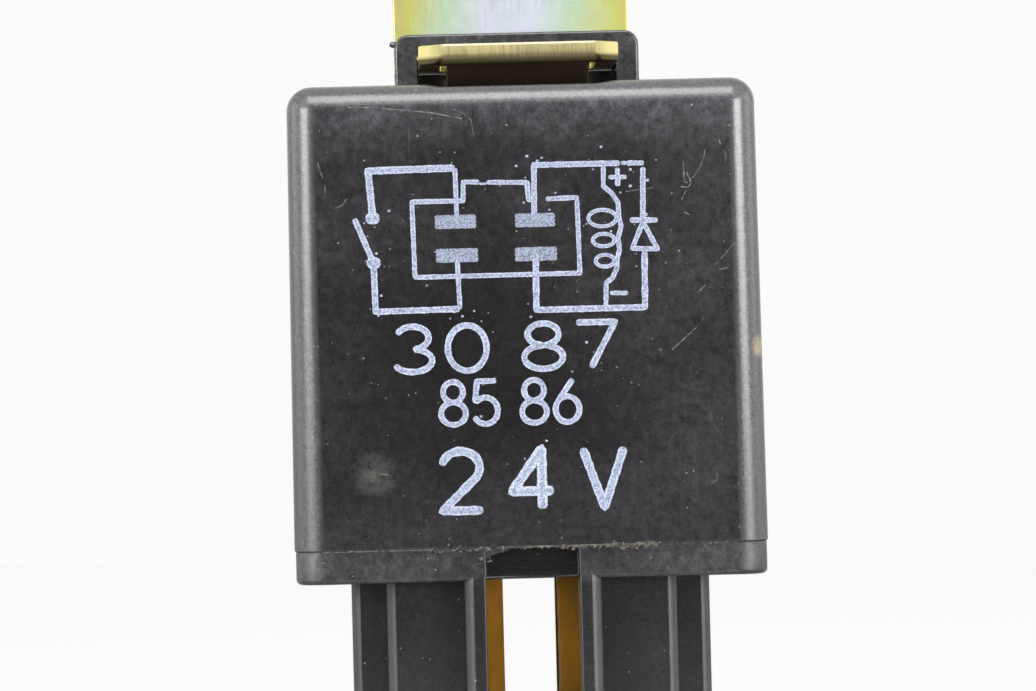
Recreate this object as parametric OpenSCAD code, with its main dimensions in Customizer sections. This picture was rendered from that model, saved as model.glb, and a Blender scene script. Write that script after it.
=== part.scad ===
// Plug-in relay in a black moulded case: a cover with a bracket loop on top, a base with a
// stepped plug shroud underneath, blade terminals, and the coil, armature and contacts inside.
// Millimetres, +Z up. The front is at -Y. The origin is the centre of the shroud's rim.

/* [Case] */
// Width of the cover at the seam
body_w = 28.8; // [26:0.1:34]
// Depth of the cover at the seam
body_d = 24; // [22:0.5:30]
// Height of the cover above the seam
cover_h = 28.2; // [25:0.2:36]
// Side wall of the cover at its top
cover_wall = 1.2; // [0.9:0.05:1.5]
// Top wall of the cover
top_wall = 1.4; // [1:0.1:2]
// Rounding of the cover's edges
edge_r = 1.5; // [0.8:0.1:2]
// Rounding of the upright corners inside the cover
inner_r = 0.8; // [0.3:0.1:1.2]
// Mould draft, the lean of each side over the cover's height
cover_draft = 0.18; // [0.02:0.02:0.4]

/* [Bracket loop] */
// Wall of the loop beside the bracket's leg
loop_wall = 1.4; // [1:0.1:2]
// Roof of the loop over the leg
loop_roof = 0.95; // [0.7:0.05:2]
// Length of the loop along the leg
loop_len = 8; // [6:0.5:9]
// Distance of the loop behind the cover's front
loop_setback = 9; // [8:0.5:10]
// Rounding of the loop's upper corners
loop_r = 0.9; // [0.3:0.1:1]
// Depth of the shallow scoop under the leg
scoop_depth = 0.2; // [0.1:0.05:0.4]
// Width of the scoop's floor
scoop_w = 9.2; // [7:0.2:11]
// Width of each of the scoop's sloping sides
scoop_slope = 1.1; // [0.5:0.1:1.4]
// Length of the ledge that the bracket's barb locks behind
ledge_len = 1.8; // [1:0.2:3]

/* [Bracket] */
// Thickness of the bracket's sheet
sheet_t = 1.2; // [1:0.1:1.6]
// Width of the leg that goes through the loop
leg_w = 12.25; // [11:0.05:14]
// Clearance of the leg in the loop
leg_clear = 0.1; // [0.05:0.01:0.2]
// Height of the leg's underside above the cover
leg_rise = 1.3; // [1:0.05:1.6]
// Distance of the leg's end behind the cover's front
leg_setback = 2.5; // [2:0.1:3.5]
// Chamfer of the leg's front corners
leg_chamfer = 1.5; // [0.5:0.05:2.5]
// Width of the upright tab
tab_w = 15.4; // [14:0.1:18]
// Height of the tab above the cover
tab_h = 24; // [20:0.5:40]
// Rounding of the tab's upper corners
tab_r = 3; // [1:0.5:5]
// Inner radius of the bracket's bend
bracket_bend_r = 1.3; // [0.8:0.1:2]
// Diameter of the fixing hole
hole_d = 6.5; // [5:0.1:8]
// Height of the fixing hole above the cover
hole_rise = 15.5; // [11:0.5:18]
// Width of the lanced barb
barb_w = 8.8; // [7:0.1:9]
// Width of the slot on each side of the barb
barb_slot = 0.4; // [0.3:0.05:0.6]
// Distance of the barb's root behind the leg's end
barb_root = 2.5; // [2:0.1:3]
// Length of the barb
barb_len = 7; // [6:0.1:8]

/* [Base] */
// Thickness of the flange below the seam
flange_t = 2; // [1.5:0.1:3]
// Rounding of the flange's lower edge
flange_r = 0.3; // [0.1:0.05:0.9]
// Step of the flange inside the cover's outline
seam_step = 0.08; // [0.02:0.02:0.2]
// Height of the plug that fits inside the cover
plug_h = 3; // [2.4:0.1:4]
// Clearance of that plug inside the cover
plug_clear = 0.1; // [0.05:0.01:0.2]
// Depth of the notch in the flange's front
notch_d = 2; // [1:0.1:2.5]
// Width of the notch's slanted left corner
notch_slant = 1.1; // [0.5:0.1:2]
// Height of that slanted corner
notch_rise = 0.55; // [0.3:0.05:1]

/* [Plug shroud] */
// Length of the shroud below the flange
shroud_len = 15; // [13:0.5:20]
// Wall of the shroud
shroud_wall = 1.3; // [1:0.05:1.6]
// Width of the latch slots in front and behind
slot_w = 5.7; // [5:0.1:7]
// Gap between the blades' outer edges and the wall
side_gap = 1.8; // [1:0.1:2.5]
// Gap between the blade rows and the wide part's wall
row_gap = 0.7; // [0.4:0.1:1.5]
// Step in of the narrow part's sides
step_in = 2.2; // [1.5:0.1:2.8]
// Step out of the narrow part's front and back
step_out = 3; // [2:0.1:3.4]
// Rounding of the shroud's outer corners
shroud_r = 0.6; // [0.2:0.05:0.9]

/* [Terminals] */
// Width of the blades
blade_w = 6.3; // [4.8:0.1:6.5]
// Thickness of the blades
blade_t = 0.8; // [0.6:0.05:1]
// Length of the blades below the flange
blade_len = 11; // [8:0.5:12.5]
// Gap between the left and the right blades
blade_gap = 3.4; // [3:0.1:4]
// Distance between the two rows of blades
row_pitch = 6; // [5.6:0.1:7]
// Length of the taper at the blades' tips
tip_len = 1.2; // [0.5:0.1:1.8]
// Width that the taper takes off each side
tip_inset = 0.6; // [0.3:0.05:1.2]
// Clearance of the terminals in the base
slot_clear = 0.05; // [0.02:0.01:0.1]
// Bend radius inside the formed terminals
terminal_bend_r = 0.4; // [0.2:0.05:0.6]
// Cover over the contact terminal's cross piece
jog_depth = 0.8; // [0.5:0.1:1]
// Width of the contact terminal's post
post_w = 6; // [4.5:0.1:7]
// Clearance of the front posts from the cover
post_clear = 0.6; // [0.4:0.05:0.9]
// Width of the coil terminals' posts
coil_post_w = 1.4; // [1:0.1:2]
// Height of the coil terminals' posts above the base
coil_post_h = 7; // [5:0.5:10]
// Depth of the coil terminals' shoulders in the base
shoulder_h = 2; // [1:0.1:2.2]

/* [Magnet frame] */
// Thickness of the yoke
yoke_t = 1.6; // [1.2:0.1:2]
// Step of the yoke inside the bobbin's width
yoke_step = 0.6; // [0.3:0.1:1.5]
// Inner radius of the yoke's bend
yoke_bend_r = 0.3; // [0.1:0.05:0.6]
// Diameter of the core
core_d = 6.5; // [5.5:0.1:7.5]
// Diameter of the core's pole face
pole_d = 10; // [8.5:0.1:11]
// Thickness of the pole face
pole_t = 1.2; // [0.8:0.1:1.6]
// Diameter of the core's staked end
shank_d = 5; // [4:0.1:5.4]
// Sheet of the yoke in front of the staked end
yoke_margin = 2.2; // [1.5:0.1:4]
// Clearance of the core in its holes
core_clear = 0.1; // [0.05:0.01:0.2]
// Wall of the bobbin's tube
bobbin_wall = 0.8; // [0.5:0.05:1.2]
// Thickness of the bobbin's flanges
bobbin_flange_t = 1; // [0.7:0.1:1.5]
// Rounding of the bobbin's corners
bobbin_r = 0.6; // [0.3:0.1:1.5]
// Clearance of the bobbin from the yoke's bend
bobbin_clear = 0.05; // [0.02:0.01:0.1]
// Step of the winding inside the bobbin's flanges
winding_step = 0.5; // [0.3:0.05:1]
// Clearance of the winding on the bobbin
winding_clear = 0.05; // [0.02:0.01:0.1]
// Width of the bobbin's square flanges
bobbin_w = 14.1; // [12:0.1:14.6]
// Gap between the bobbin and the coil posts
coil_side_gap = 0.4; // [0.2:0.05:0.8]
// Room from the pole face to the cover's inside
head_room = 4.2; // [4:0.1:5.5]
// Diameter of the coil's lead wires
lead_wire_d = 0.36; // [0.2:0.02:0.5]

/* [Armature and contacts] */
// Thickness of the armature
armature_t = 1.4; // [1:0.1:1.8]
// Width of the armature
armature_w = 12; // [10:0.5:13]
// Chamfer of the armature's front corners
armature_chamfer = 2; // [1:0.1:3]
// Gap between the armature's front and the moving contact
armature_gap = 0.5; // [0.3:0.1:1.5]
// Angle of the armature when open
open_deg = 3.5; // [2.5:0.1:4]
// Gap left at the pole face when closed
pole_gap = 0.1; // [0.05:0.01:0.2]
// Gap left under the armature at its pivot
pivot_gap = 0.05; // [0.02:0.01:0.1]
// Gap left between the contacts when closed
contact_gap = 0.05; // [0.02:0.01:0.1]
// Thickness of the contact spring
spring_t = 0.3; // [0.2:0.02:0.4]
// Width of the contact spring
spring_w = 10; // [9:0.2:11]
// Inner radius of the spring's bend
spring_bend_r = 0.8; // [0.5:0.05:1.2]
// Clearance of the armature from the spring's bend
hinge_clear = 0.2; // [0.1:0.05:0.4]
// Length of the spring down the yoke
spring_drop = 9; // [7:0.5:12]
// Diameter of the contacts
contact_d = 3.6; // [3:0.1:4]
// Thickness of the fixed contact's face
fixed_t = 0.55; // [0.4:0.05:0.7]
// Clearance of the contact pad over the bobbin
pad_clear = 0.15; // [0.1:0.05:0.3]
// Diameter of the contacts' shanks
contact_shank_d = 1.6; // [1.2:0.1:2]
// Diameter of the contacts' staked heads
stake_d = 2.4; // [2:0.1:3]
// Height of the contacts' staked heads
stake_h = 0.35; // [0.2:0.05:0.45]
// Gap between the contacts and the post behind them
contact_post_gap = 0.6; // [0.4:0.05:1]
// Sheet left round the contacts
contact_margin = 0.3; // [0.2:0.05:0.6]
// Diameter of the rivets
rivet_d = 1.6; // [1.2:0.1:2]
// Diameter of the rivet heads
rivet_head_d = 3; // [2.4:0.1:3.6]
// Height of the rivet heads
rivet_head_h = 0.6; // [0.4:0.05:0.8]
// Clearance of shanks in their holes
shank_clear = 0.05; // [0.02:0.01:0.1]
// Spacing of each pair of rivets
rivet_pitch = 5; // [4:0.1:6]
// Clearance of the rivet heads from the cover
wall_clear = 0.3; // [0.2:0.05:0.6]
// Width of the armature stop
stop_w = 3; // [2:0.1:4]
// Gap between the stop and the contact terminal
stop_side_gap = 0.6; // [0.4:0.05:1]
// Depth of the stop's foot in the base
stop_foot = 1.8; // [1:0.1:2.2]

/* [Diode] */
// Diameter of the diode's body
diode_d = 2.6; // [2:0.1:2.8]
// Length of the diode's body
diode_len = 4.2; // [3:0.1:4.6]
// Diameter of the diode's leads
diode_lead_d = 0.8; // [0.5:0.05:0.9]
// Overhang of the leads past the posts
lead_overhang = 0.6; // [0.3:0.1:1]
// Distance of the diode below the posts' tops
diode_drop = 1.8; // [1.4:0.1:2.5]

/* [Hidden] */
$fn = 48;
hull_fn = 32;
bend_steps = 8;
over = 1;
seat = 0.02;

// Levels of the case
seam_z = shroud_len + flange_t;
cover_top = seam_z + cover_h;
cavity_top = cover_top - top_wall;
plug_top = seam_z + plug_h;
front_y = -body_d / 2;
inner_half_w = body_w / 2 - cover_draft - cover_wall;
inner_half_d = body_d / 2 - cover_draft - cover_wall;

// Bracket, its loop and its barb
leg_under = cover_top + leg_rise;
leg_mid = leg_under + sheet_t / 2;
leg_end_y = front_y + leg_setback;
slot_half_w = leg_w / 2 + leg_clear;
loop_half_w = slot_half_w + loop_wall;
slot_roof = leg_under + sheet_t + leg_clear;
loop_top = slot_roof + loop_roof;
loop_front_y = front_y + loop_setback;
loop_back_y = loop_front_y + loop_len;
tab_mid_y = body_d / 2 + sheet_t / 2;
barb_root_y = leg_end_y + barb_root;
barb_end_y = barb_root_y + barb_len;
barb_drop = leg_rise + scoop_depth - leg_clear;
window_half_w = barb_w / 2 + barb_slot;

// Shroud, from the blades outwards
blade_x = (blade_gap + blade_w) / 2;
row_y = row_pitch / 2;
wide_half_w = blade_x + blade_w / 2 + side_gap + shroud_wall;
wide_half_d = row_y + blade_t / 2 + row_gap + shroud_wall;
narrow_half_w = wide_half_w - step_in;
narrow_half_d = wide_half_d + step_out;
fin_half_w = slot_w / 2 + shroud_wall;
blade_tip_z = shroud_len - blade_len;

// Magnet frame, stacked between the base and the cover
yoke_back_y = inner_half_d - wall_clear - rivet_head_h - spring_t;
yoke_front_y = yoke_back_y - yoke_t;
yoke_w = bobbin_w - 2 * yoke_step;
post_y = post_clear + blade_t / 2 - inner_half_d;
post_back_y = post_y + blade_t / 2;
bobbin_back_y = yoke_front_y - yoke_bend_r - bobbin_clear;
coil_y = bobbin_back_y - bobbin_w / 2;
yoke_leg_z = plug_top + yoke_t;
pole_top = cavity_top - head_room;
bobbin_top = pole_top - pole_t;
winding_r = bobbin_w / 2 - winding_step;
bobbin_bore_r = core_d / 2 + core_clear;
tube_r = bobbin_bore_r + bobbin_wall;
coil_post_x = bobbin_w / 2 + coil_side_gap;
coil_post_top = plug_top + coil_post_h;
jog_z = plug_top - jog_depth - blade_t / 2;

// Armature in its closed place, and its pivot on the yoke
armature_z = pole_top + pole_gap;
yoke_top = armature_z - pivot_gap;
armature_back_y = yoke_back_y - spring_bend_r - hinge_clear;
spring_z = armature_z + armature_t;
contact_y = post_back_y + contact_post_gap + contact_d / 2;
armature_front_y = contact_y + contact_d / 2 + armature_gap;
spring_front_y = contact_y - contact_d / 2 - contact_margin;
pad_end_y = contact_y + contact_d / 2 + contact_margin;
pad_top = bobbin_top + pad_clear + stake_h + blade_t;
moving_t = spring_z - contact_gap - fixed_t - pad_top;
spring_rivet_z = yoke_top - spring_drop / 2;

// Place in Y and Z that a closed point of the armature has when it is open
function open_point(y, z) =
    let (dy = y - armature_back_y, dz = z - yoke_top)
    [armature_back_y + dy * cos(open_deg) + dz * sin(open_deg),
     yoke_top - dy * sin(open_deg) + dz * cos(open_deg)];

spring_tip = open_point(spring_front_y, spring_z + spring_t);
stop_mid_z = spring_tip.y + contact_gap + blade_t / 2;
stop_x = post_w / 2 + stop_side_gap + stop_w / 2;

// Sheet metal: a path with round bends becomes an outline of one thickness
function unit(v) = v / norm(v);
function turned(v, a) = [v.x * cos(a) - v.y * sin(a), v.x * sin(a) + v.y * cos(a)];
function cross2(u, v) = u.x * v.y - u.y * v.x;
function bend(a, b, c, r) =
    let (u = unit(a - b), v = unit(c - b), half = acos(u * v) / 2,
         centre = b + unit(u + v) * r / sin(half),
         first = b + u * r / tan(half) - centre,
         turn = sign(cross2(-u, v)) * (180 - 2 * half))
    [for (i = [0 : bend_steps]) centre + turned(first, turn * i / bend_steps)];
function bent_path(corners, r) =
    let (last = len(corners) - 1)
    concat([corners[0]],
           [for (i = [1 : 1 : last - 1], p = bend(corners[i - 1], corners[i], corners[i + 1], r)) p],
           [corners[last]]);
function side_point(path, i, s) =
    let (last = len(path) - 1,
         into = unit(path[max(i, 1)] - path[max(i, 1) - 1]),
         out = unit(path[min(i, last - 1) + 1] - path[min(i, last - 1)]),
         middle = unit(into + out))
    path[i] + turned(middle, 90) * s / (middle * into);
function strip_outline(path, t) =
    let (last = len(path) - 1)
    concat([for (i = [0 : last]) side_point(path, i, t / 2)],
           [for (i = [last : -1 : 0]) side_point(path, i, -t / 2)]);

// Extrudes an outline in Y and Z along X
module along_x(w) {
    rotate([90, 0, 90]) linear_extrude(height = w, center = true) children();
}

module sheet_strip(corners, r, t, w) {
    along_x(w) polygon(strip_outline(bent_path(corners, r + t / 2), t));
}

// Box between two corners
module block(low, high) {
    translate(low) cube(high - low);
}

module rounded_rect(half_w, half_d, r) {
    square([2 * (half_w - r), 2 * half_d], center = true);
    square([2 * half_w, 2 * (half_d - r)], center = true);
    for (sx = [-1, 1], sy = [-1, 1])
        translate([sx * (half_w - r), sy * (half_d - r)]) circle(r);
}

module rounded_prism(half_w, half_d, r, z0, z1) {
    translate([0, 0, z0]) linear_extrude(height = z1 - z0) rounded_rect(half_w, half_d, r);
}

module rod(r, z0, z1) {
    translate([0, 0, z0]) cylinder(r = r, h = z1 - z0);
}

// Turns closed geometry of the armature into its open place at rest
module opened() {
    translate([0, armature_back_y, yoke_top]) rotate([-open_deg, 0, 0])
        translate([0, -armature_back_y, -yoke_top]) children();
}

// Cover with its loop

module cover_outside() {
    lean = cover_draft + edge_r;
    hull() {
        for (sx = [-1, 1], sy = [-1, 1]) {
            translate([sx * (body_w / 2 - edge_r), sy * (body_d / 2 - edge_r), seam_z])
                cylinder(r = edge_r, h = seat, $fn = hull_fn);
            translate([sx * (body_w / 2 - lean), sy * (body_d / 2 - lean), cover_top - edge_r])
                sphere(r = edge_r, $fn = hull_fn);
        }
        block([lean - body_w / 2, lean - body_d / 2, cover_top - edge_r],
              [body_w / 2 - lean, body_d / 2 - lean, cover_top]);
    }
}

module loop_outside() {
    translate([0, loop_back_y, 0]) rotate([90, 0, 0]) linear_extrude(height = loop_len) {
        translate([-loop_half_w, cavity_top]) square([2 * loop_half_w, loop_top - loop_r - cavity_top]);
        translate([loop_r - loop_half_w, cavity_top])
            square([2 * (loop_half_w - loop_r), loop_top - cavity_top]);
        for (s = [-1, 1]) translate([s * (loop_half_w - loop_r), loop_top - loop_r]) circle(loop_r);
    }
}

module scoop() {
    floor_half = scoop_w / 2;
    rim_half = floor_half + scoop_slope;
    translate([0, loop_back_y, cover_top]) rotate([90, 0, 0]) linear_extrude(height = body_d)
        polygon([[-rim_half, 0], [-floor_half, -scoop_depth], [floor_half, -scoop_depth],
                 [rim_half, 0], [rim_half, seat], [-rim_half, seat]]);
}

// Ledge across the loop, up to the leg, that the barb locks behind
module ledge() {
    block([-slot_half_w - seat, barb_end_y + leg_clear, cover_top - scoop_depth - seat],
          [slot_half_w + seat, barb_end_y + leg_clear + ledge_len, leg_under - leg_clear]);
}

module cover() {
    color("#2d2d2f") {
        difference() {
            union() {
                cover_outside();
                loop_outside();
            }
            rounded_prism(inner_half_w, inner_half_d, inner_r, seam_z - over, cavity_top);
            block([-slot_half_w, loop_front_y - over, cover_top],
                  [slot_half_w, loop_back_y + over, slot_roof]);
            scoop();
        }
        ledge();
    }
}

// Base with its flange, plug and shroud

module shroud_outline() {
    rounded_rect(wide_half_w, wide_half_d, shroud_r);
    rounded_rect(narrow_half_w, narrow_half_d, shroud_r);
    for (s = [-1, 1]) fin_outline(s);
}

// One fin beside the front latch slot, flush with the flange's front
module fin_outline(side) {
    fin_front = front_y + seam_step;
    middle_x = side * (fin_half_w + slot_w / 2) / 2;
    translate([middle_x - shroud_wall / 2, fin_front + shroud_r])
        square([shroud_wall, -narrow_half_d - fin_front]);
    translate([side * (fin_half_w - shroud_r), fin_front + shroud_r]) circle(shroud_r);
    translate([middle_x - side * shroud_r / 2 - (shroud_wall - shroud_r) / 2, fin_front])
        square([shroud_wall - shroud_r, 2 * shroud_r]);
}

module shroud_cavity() {
    rounded_rect(wide_half_w - shroud_wall, wide_half_d - shroud_wall, shroud_r / 2);
    rounded_rect(narrow_half_w - shroud_wall, narrow_half_d - shroud_wall, shroud_r / 2);
    square([slot_w, 2 * (narrow_half_d + over)], center = true);
}

module flange_notch() {
    half = slot_w / 2;
    translate([0, front_y + seam_step + notch_d, shroud_len]) rotate([90, 0, 0])
        linear_extrude(height = notch_d + over)
            polygon([[-half, -over], [half, -over], [half, flange_t + seat],
                     [notch_slant - half, flange_t + seat], [-half, flange_t - notch_rise]]);
}

// What the flange's lower edge loses to its rounding, outwards and up from that edge
module under_profile() {
    difference() {
        translate([-flange_r, -over]) square([flange_r + over, flange_r + over]);
        translate([-flange_r, flange_r]) circle(flange_r);
    }
}

module flange() {
    half_w = body_w / 2 - seam_step;
    half_d = body_d / 2 - seam_step;
    corner_r = edge_r - seam_step;
    difference() {
        rounded_prism(half_w, half_d, corner_r, shroud_len, seam_z);
        translate([0, 0, shroud_len]) {
            for (a = [0, 180]) rotate([0, 0, a]) {
                translate([half_w, 0, 0]) rotate([90, 0, 0])
                    linear_extrude(height = 2 * (half_d - corner_r), center = true) under_profile();
                translate([0, half_d, 0]) rotate([90, 0, 90])
                    linear_extrude(height = 2 * (half_w - corner_r), center = true) under_profile();
                translate([half_w - corner_r, half_d - corner_r, 0]) rotate_extrude(angle = 90)
                    translate([corner_r, 0]) under_profile();
                translate([corner_r - half_w, half_d - corner_r, 0]) rotate([0, 0, 90])
                    rotate_extrude(angle = 90) translate([corner_r, 0]) under_profile();
            }
        }
    }
}

module base() {
    color("#333335") difference() {
        union() {
            flange();
            rounded_prism(inner_half_w - plug_clear, inner_half_d - plug_clear, inner_r,
                          shroud_len, plug_top);
            difference() {
                linear_extrude(height = shroud_len + flange_t / 2) shroud_outline();
                translate([0, 0, -over]) linear_extrude(height = shroud_len + over) shroud_cavity();
            }
        }
        flange_notch();
        common_slot();
        contact_slot();
        for (row = [-1, 1]) coil_slot(row);
        stop_slot();
    }
}

// Bracket

module bracket_sheet() {
    sheet_strip([[leg_end_y, leg_mid], [tab_mid_y, leg_mid], [tab_mid_y, cover_top + tab_h]],
                bracket_bend_r, sheet_t, tab_w);
}

// What the press trims off one side: the leg's shoulder, its chamfer and the tab's corner
module bracket_trim(side) {
    low = leg_under - over;
    high = leg_under + sheet_t + over;
    shoulder_y = loop_back_y + leg_clear;
    top = cover_top + tab_h;
    translate([0, 0, low]) linear_extrude(height = high - low)
        polygon([[side * leg_w / 2, shoulder_y],
                 [side * leg_w / 2, leg_end_y + leg_chamfer],
                 [side * (leg_w / 2 - leg_chamfer), leg_end_y],
                 [side * (leg_w / 2 - leg_chamfer), leg_end_y - over],
                 [side * (tab_w / 2 + over), leg_end_y - over],
                 [side * (tab_w / 2 + over), shoulder_y]]);
    translate([0, tab_mid_y + sheet_t, 0]) rotate([90, 0, 0]) linear_extrude(height = 2 * sheet_t)
        difference() {
            translate([side * tab_w / 2 - tab_r, top - tab_r]) square(2 * tab_r);
            translate([side * (tab_w / 2 - tab_r), top - tab_r]) circle(tab_r);
            translate([side > 0 ? tab_w / 2 - 2 * tab_r : tab_r - tab_w / 2, top - tab_r])
                square([tab_r, 3 * tab_r]);
        }
}

module mounting_bracket() {
    color("#c9b45a") {
        difference() {
            bracket_sheet();
            for (s = [-1, 1]) bracket_trim(s);
            block([-window_half_w, barb_root_y, leg_under - over],
                  [window_half_w, barb_end_y + barb_slot, leg_under + sheet_t + over]);
            translate([0, tab_mid_y + sheet_t, cover_top + hole_rise]) rotate([90, 0, 0])
                cylinder(d = hole_d, h = 2 * sheet_t);
        }
        along_x(barb_w) polygon([[barb_root_y, leg_under], [barb_root_y - seat, leg_under],
                                 [barb_root_y - seat, leg_under + sheet_t],
                                 [barb_root_y, leg_under + sheet_t],
                                 [barb_end_y, leg_under + sheet_t - barb_drop],
                                 [barb_end_y, leg_under - barb_drop]]);
    }
}

// Terminals, and the slots that hold them in the base

// Blade with a chamfered tip, from its tip up to a level, in X and Z
module blade_outline(top) {
    half = blade_w / 2;
    polygon([[-half, top], [-half, blade_tip_z + tip_len], [tip_inset - half, blade_tip_z],
             [half - tip_inset, blade_tip_z], [half, blade_tip_z + tip_len], [half, top]]);
}

// Places a flat X and Z outline at a row as sheet of the blades' thickness
module in_row(row, grow = 0) {
    translate([0, row * row_y + blade_t / 2 + grow, 0]) rotate([90, 0, 0])
        linear_extrude(height = blade_t + 2 * grow) children();
}

module blade_slot(side, row) {
    half = blade_w / 2 + slot_clear;
    in_row(row, slot_clear) translate([side * blade_x - half, shroud_len - over])
        square([2 * half, plug_top - shroud_len + 2 * over]);
}

module terminal_common() {
    color("#b98a3c") in_row(1) translate([-blade_x, 0]) blade_outline(plug_top);
}

module common_slot() {
    blade_slot(-1, 1);
}

module terminal_coil(row) {
    color("#b98a3c") in_row(row) {
        translate([blade_x, 0]) blade_outline(plug_top);
        translate([blade_x, plug_top - shoulder_h])
            square([coil_post_x + coil_post_w - blade_x, shoulder_h]);
        translate([coil_post_x, plug_top - seat]) square([coil_post_w, coil_post_h + seat]);
    }
}

module coil_slot(row) {
    blade_slot(1, row);
    in_row(row, slot_clear) translate([blade_x, plug_top - shoulder_h - slot_clear])
        square([coil_post_x + coil_post_w + slot_clear - blade_x, shoulder_h + over]);
}

// Contact terminal: blade, cross piece inside the base, post and a pad for the fixed contact
module terminal_contact() {
    middle_y = (post_y - row_y) / 2;
    pad_z = pad_top - blade_t / 2;
    color("#b98a3c") {
        translate([-blade_x, 0, 0]) intersection() {
            sheet_strip([[-row_y, blade_tip_z], [-row_y, jog_z], [middle_y, jog_z]],
                        terminal_bend_r, blade_t, blade_w);
            translate([0, body_d / 2, 0]) rotate([90, 0, 0]) linear_extrude(height = body_d)
                blade_outline(plug_top);
        }
        cross_piece();
        difference() {
            sheet_strip([[middle_y, jog_z], [post_y, jog_z], [post_y, pad_z], [pad_end_y, pad_z]],
                        terminal_bend_r, blade_t, post_w);
            translate([0, contact_y, 0])
                rod(contact_shank_d / 2 + shank_clear, pad_top - blade_t - over, pad_top + over);
        }
    }
}

// Flat piece between the two bends, wide enough to reach from the blade to the post
module cross_piece() {
    bend_room = terminal_bend_r + blade_t / 2;
    block([-blade_x - blade_w / 2, post_y + bend_room, jog_z - blade_t / 2],
          [post_w / 2, -row_y - bend_room, jog_z + blade_t / 2]);
}

// Slot for the blade, groove for the cross piece, and a relief at the bend between them
module contact_slot() {
    half_w = blade_w / 2 + slot_clear;
    half_t = blade_t / 2 + slot_clear;
    relief = half_t + terminal_bend_r;
    blade_slot(-1, -1);
    block([-blade_x - half_w, post_y - half_t, jog_z - half_t],
          [post_w / 2 + slot_clear, half_t - row_y, plug_top + over]);
    block([-blade_x - half_w, -row_y - relief, jog_z - relief], [half_w - blade_x, -row_y, plug_top]);
}

// Magnet frame and coil

module yoke() {
    leg_mid_z = plug_top + yoke_t / 2;
    leg_front_y = coil_y - shank_d / 2 - yoke_margin;
    back_mid_y = yoke_back_y - yoke_t / 2;
    color("#8f9296") difference() {
        sheet_strip([[leg_front_y, leg_mid_z], [back_mid_y, leg_mid_z], [back_mid_y, yoke_top]],
                    yoke_bend_r, yoke_t, yoke_w);
        translate([0, coil_y, 0]) rod(shank_d / 2 + core_clear, plug_top - over, yoke_leg_z + over);
        yoke_rivet_places() rod(rivet_d / 2 + shank_clear, -yoke_t - over, over);
    }
}

// Places children at the yoke's rivets, with +Z pointing out of the yoke's back
module yoke_rivet_places() {
    for (s = [-1, 1]) translate([s * rivet_pitch / 2, yoke_back_y, spring_rivet_z])
        rotate([-90, 0, 0]) children();
}

module spring_rivets() {
    color("#b9bcc0") yoke_rivet_places() {
        rod(rivet_d / 2, -yoke_t, spring_t + seat);
        rod(rivet_head_d / 2, spring_t, spring_t + rivet_head_h);
    }
}

module core() {
    color("#a5a8ab") translate([0, coil_y, 0]) {
        rod(shank_d / 2, plug_top, yoke_leg_z + over);
        rod(core_d / 2, yoke_leg_z, bobbin_top + seat);
        rod(pole_d / 2, bobbin_top, pole_top);
    }
}

module bobbin() {
    half = bobbin_w / 2;
    color("#e9e4d6") translate([0, coil_y, 0]) difference() {
        union() {
            rounded_prism(half, half, bobbin_r, yoke_leg_z, yoke_leg_z + bobbin_flange_t);
            rod(tube_r, yoke_leg_z, bobbin_top);
            rounded_prism(half, half, bobbin_r, bobbin_top - bobbin_flange_t, bobbin_top);
        }
        rod(bobbin_bore_r, yoke_leg_z - over, bobbin_top + over);
    }
}

module coil_winding() {
    low = yoke_leg_z + bobbin_flange_t + winding_clear;
    high = bobbin_top - bobbin_flange_t - winding_clear;
    inside = tube_r + winding_clear;
    color("#9c4a22") translate([0, coil_y, low]) rotate_extrude()
        translate([inside, 0]) square([winding_r - inside, high - low]);
}

// Distance of the winding's side from the coil's axis, beside a lead wire in a row
function winding_x(row) = sqrt(pow(winding_r, 2) - pow(abs(row * row_y - coil_y) - lead_wire_d / 2, 2));

module coil_leads() {
    lead_z = yoke_leg_z + bobbin_flange_t + lead_wire_d;
    color("#a8521f") for (row = [-1, 1])
        translate([winding_x(row) + winding_clear, row * row_y, lead_z]) rotate([0, 90, 0])
            cylinder(d = lead_wire_d, h = coil_post_x - winding_x(row) - 2 * winding_clear);
}

// Armature, contact spring and contacts

module armature_rivet_places() {
    for (s = [-1, 1]) translate([s * rivet_pitch / 2, coil_y, spring_z]) children();
}

module armature() {
    half = armature_w / 2;
    nose = half - armature_chamfer;
    shoulder_y = armature_front_y + armature_chamfer;
    color("#9a9da1") opened() difference() {
        translate([0, 0, armature_z]) linear_extrude(height = armature_t)
            polygon([[-half, armature_back_y], [-half, shoulder_y], [-nose, armature_front_y],
                     [nose, armature_front_y], [half, shoulder_y], [half, armature_back_y]]);
        armature_rivet_places() rod(rivet_d / 2 + shank_clear, -armature_t - over, over);
    }
}

module armature_rivets() {
    color("#b9bcc0") opened() armature_rivet_places() {
        rod(rivet_d / 2, -armature_t, spring_t + seat);
        rod(rivet_head_d / 2, spring_t, spring_t + rivet_head_h);
    }
}

// One leaf: down the yoke's back, round the bend and out along the open armature
module contact_spring() {
    leaf_y = yoke_back_y + spring_t / 2;
    root = open_point(armature_back_y, spring_z + spring_t / 2);
    tip = open_point(spring_front_y, spring_z + spring_t / 2);
    corner = [leaf_y, root.y + (leaf_y - root.x) * (tip.y - root.y) / (tip.x - root.x)];
    color("#c58f4e") difference() {
        sheet_strip([[leaf_y, yoke_top - spring_drop], corner, tip], spring_bend_r, spring_t, spring_w);
        yoke_rivet_places() rod(rivet_d / 2 + shank_clear, -over, over);
        opened() {
            armature_rivet_places() rod(rivet_d / 2 + shank_clear, -over, over);
            translate([0, contact_y, spring_z]) rod(contact_shank_d / 2 + shank_clear, -over, over);
        }
    }
}

// Contact rivet: a face that stands up by face_t, a shank through sheet and a staked end
module contact_rivet(face_t, sheet) {
    rod(contact_d / 2, 0, face_t);
    rod(contact_shank_d / 2, -sheet - stake_h, seat);
    rod(stake_d / 2, -sheet - stake_h, -sheet);
}

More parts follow.
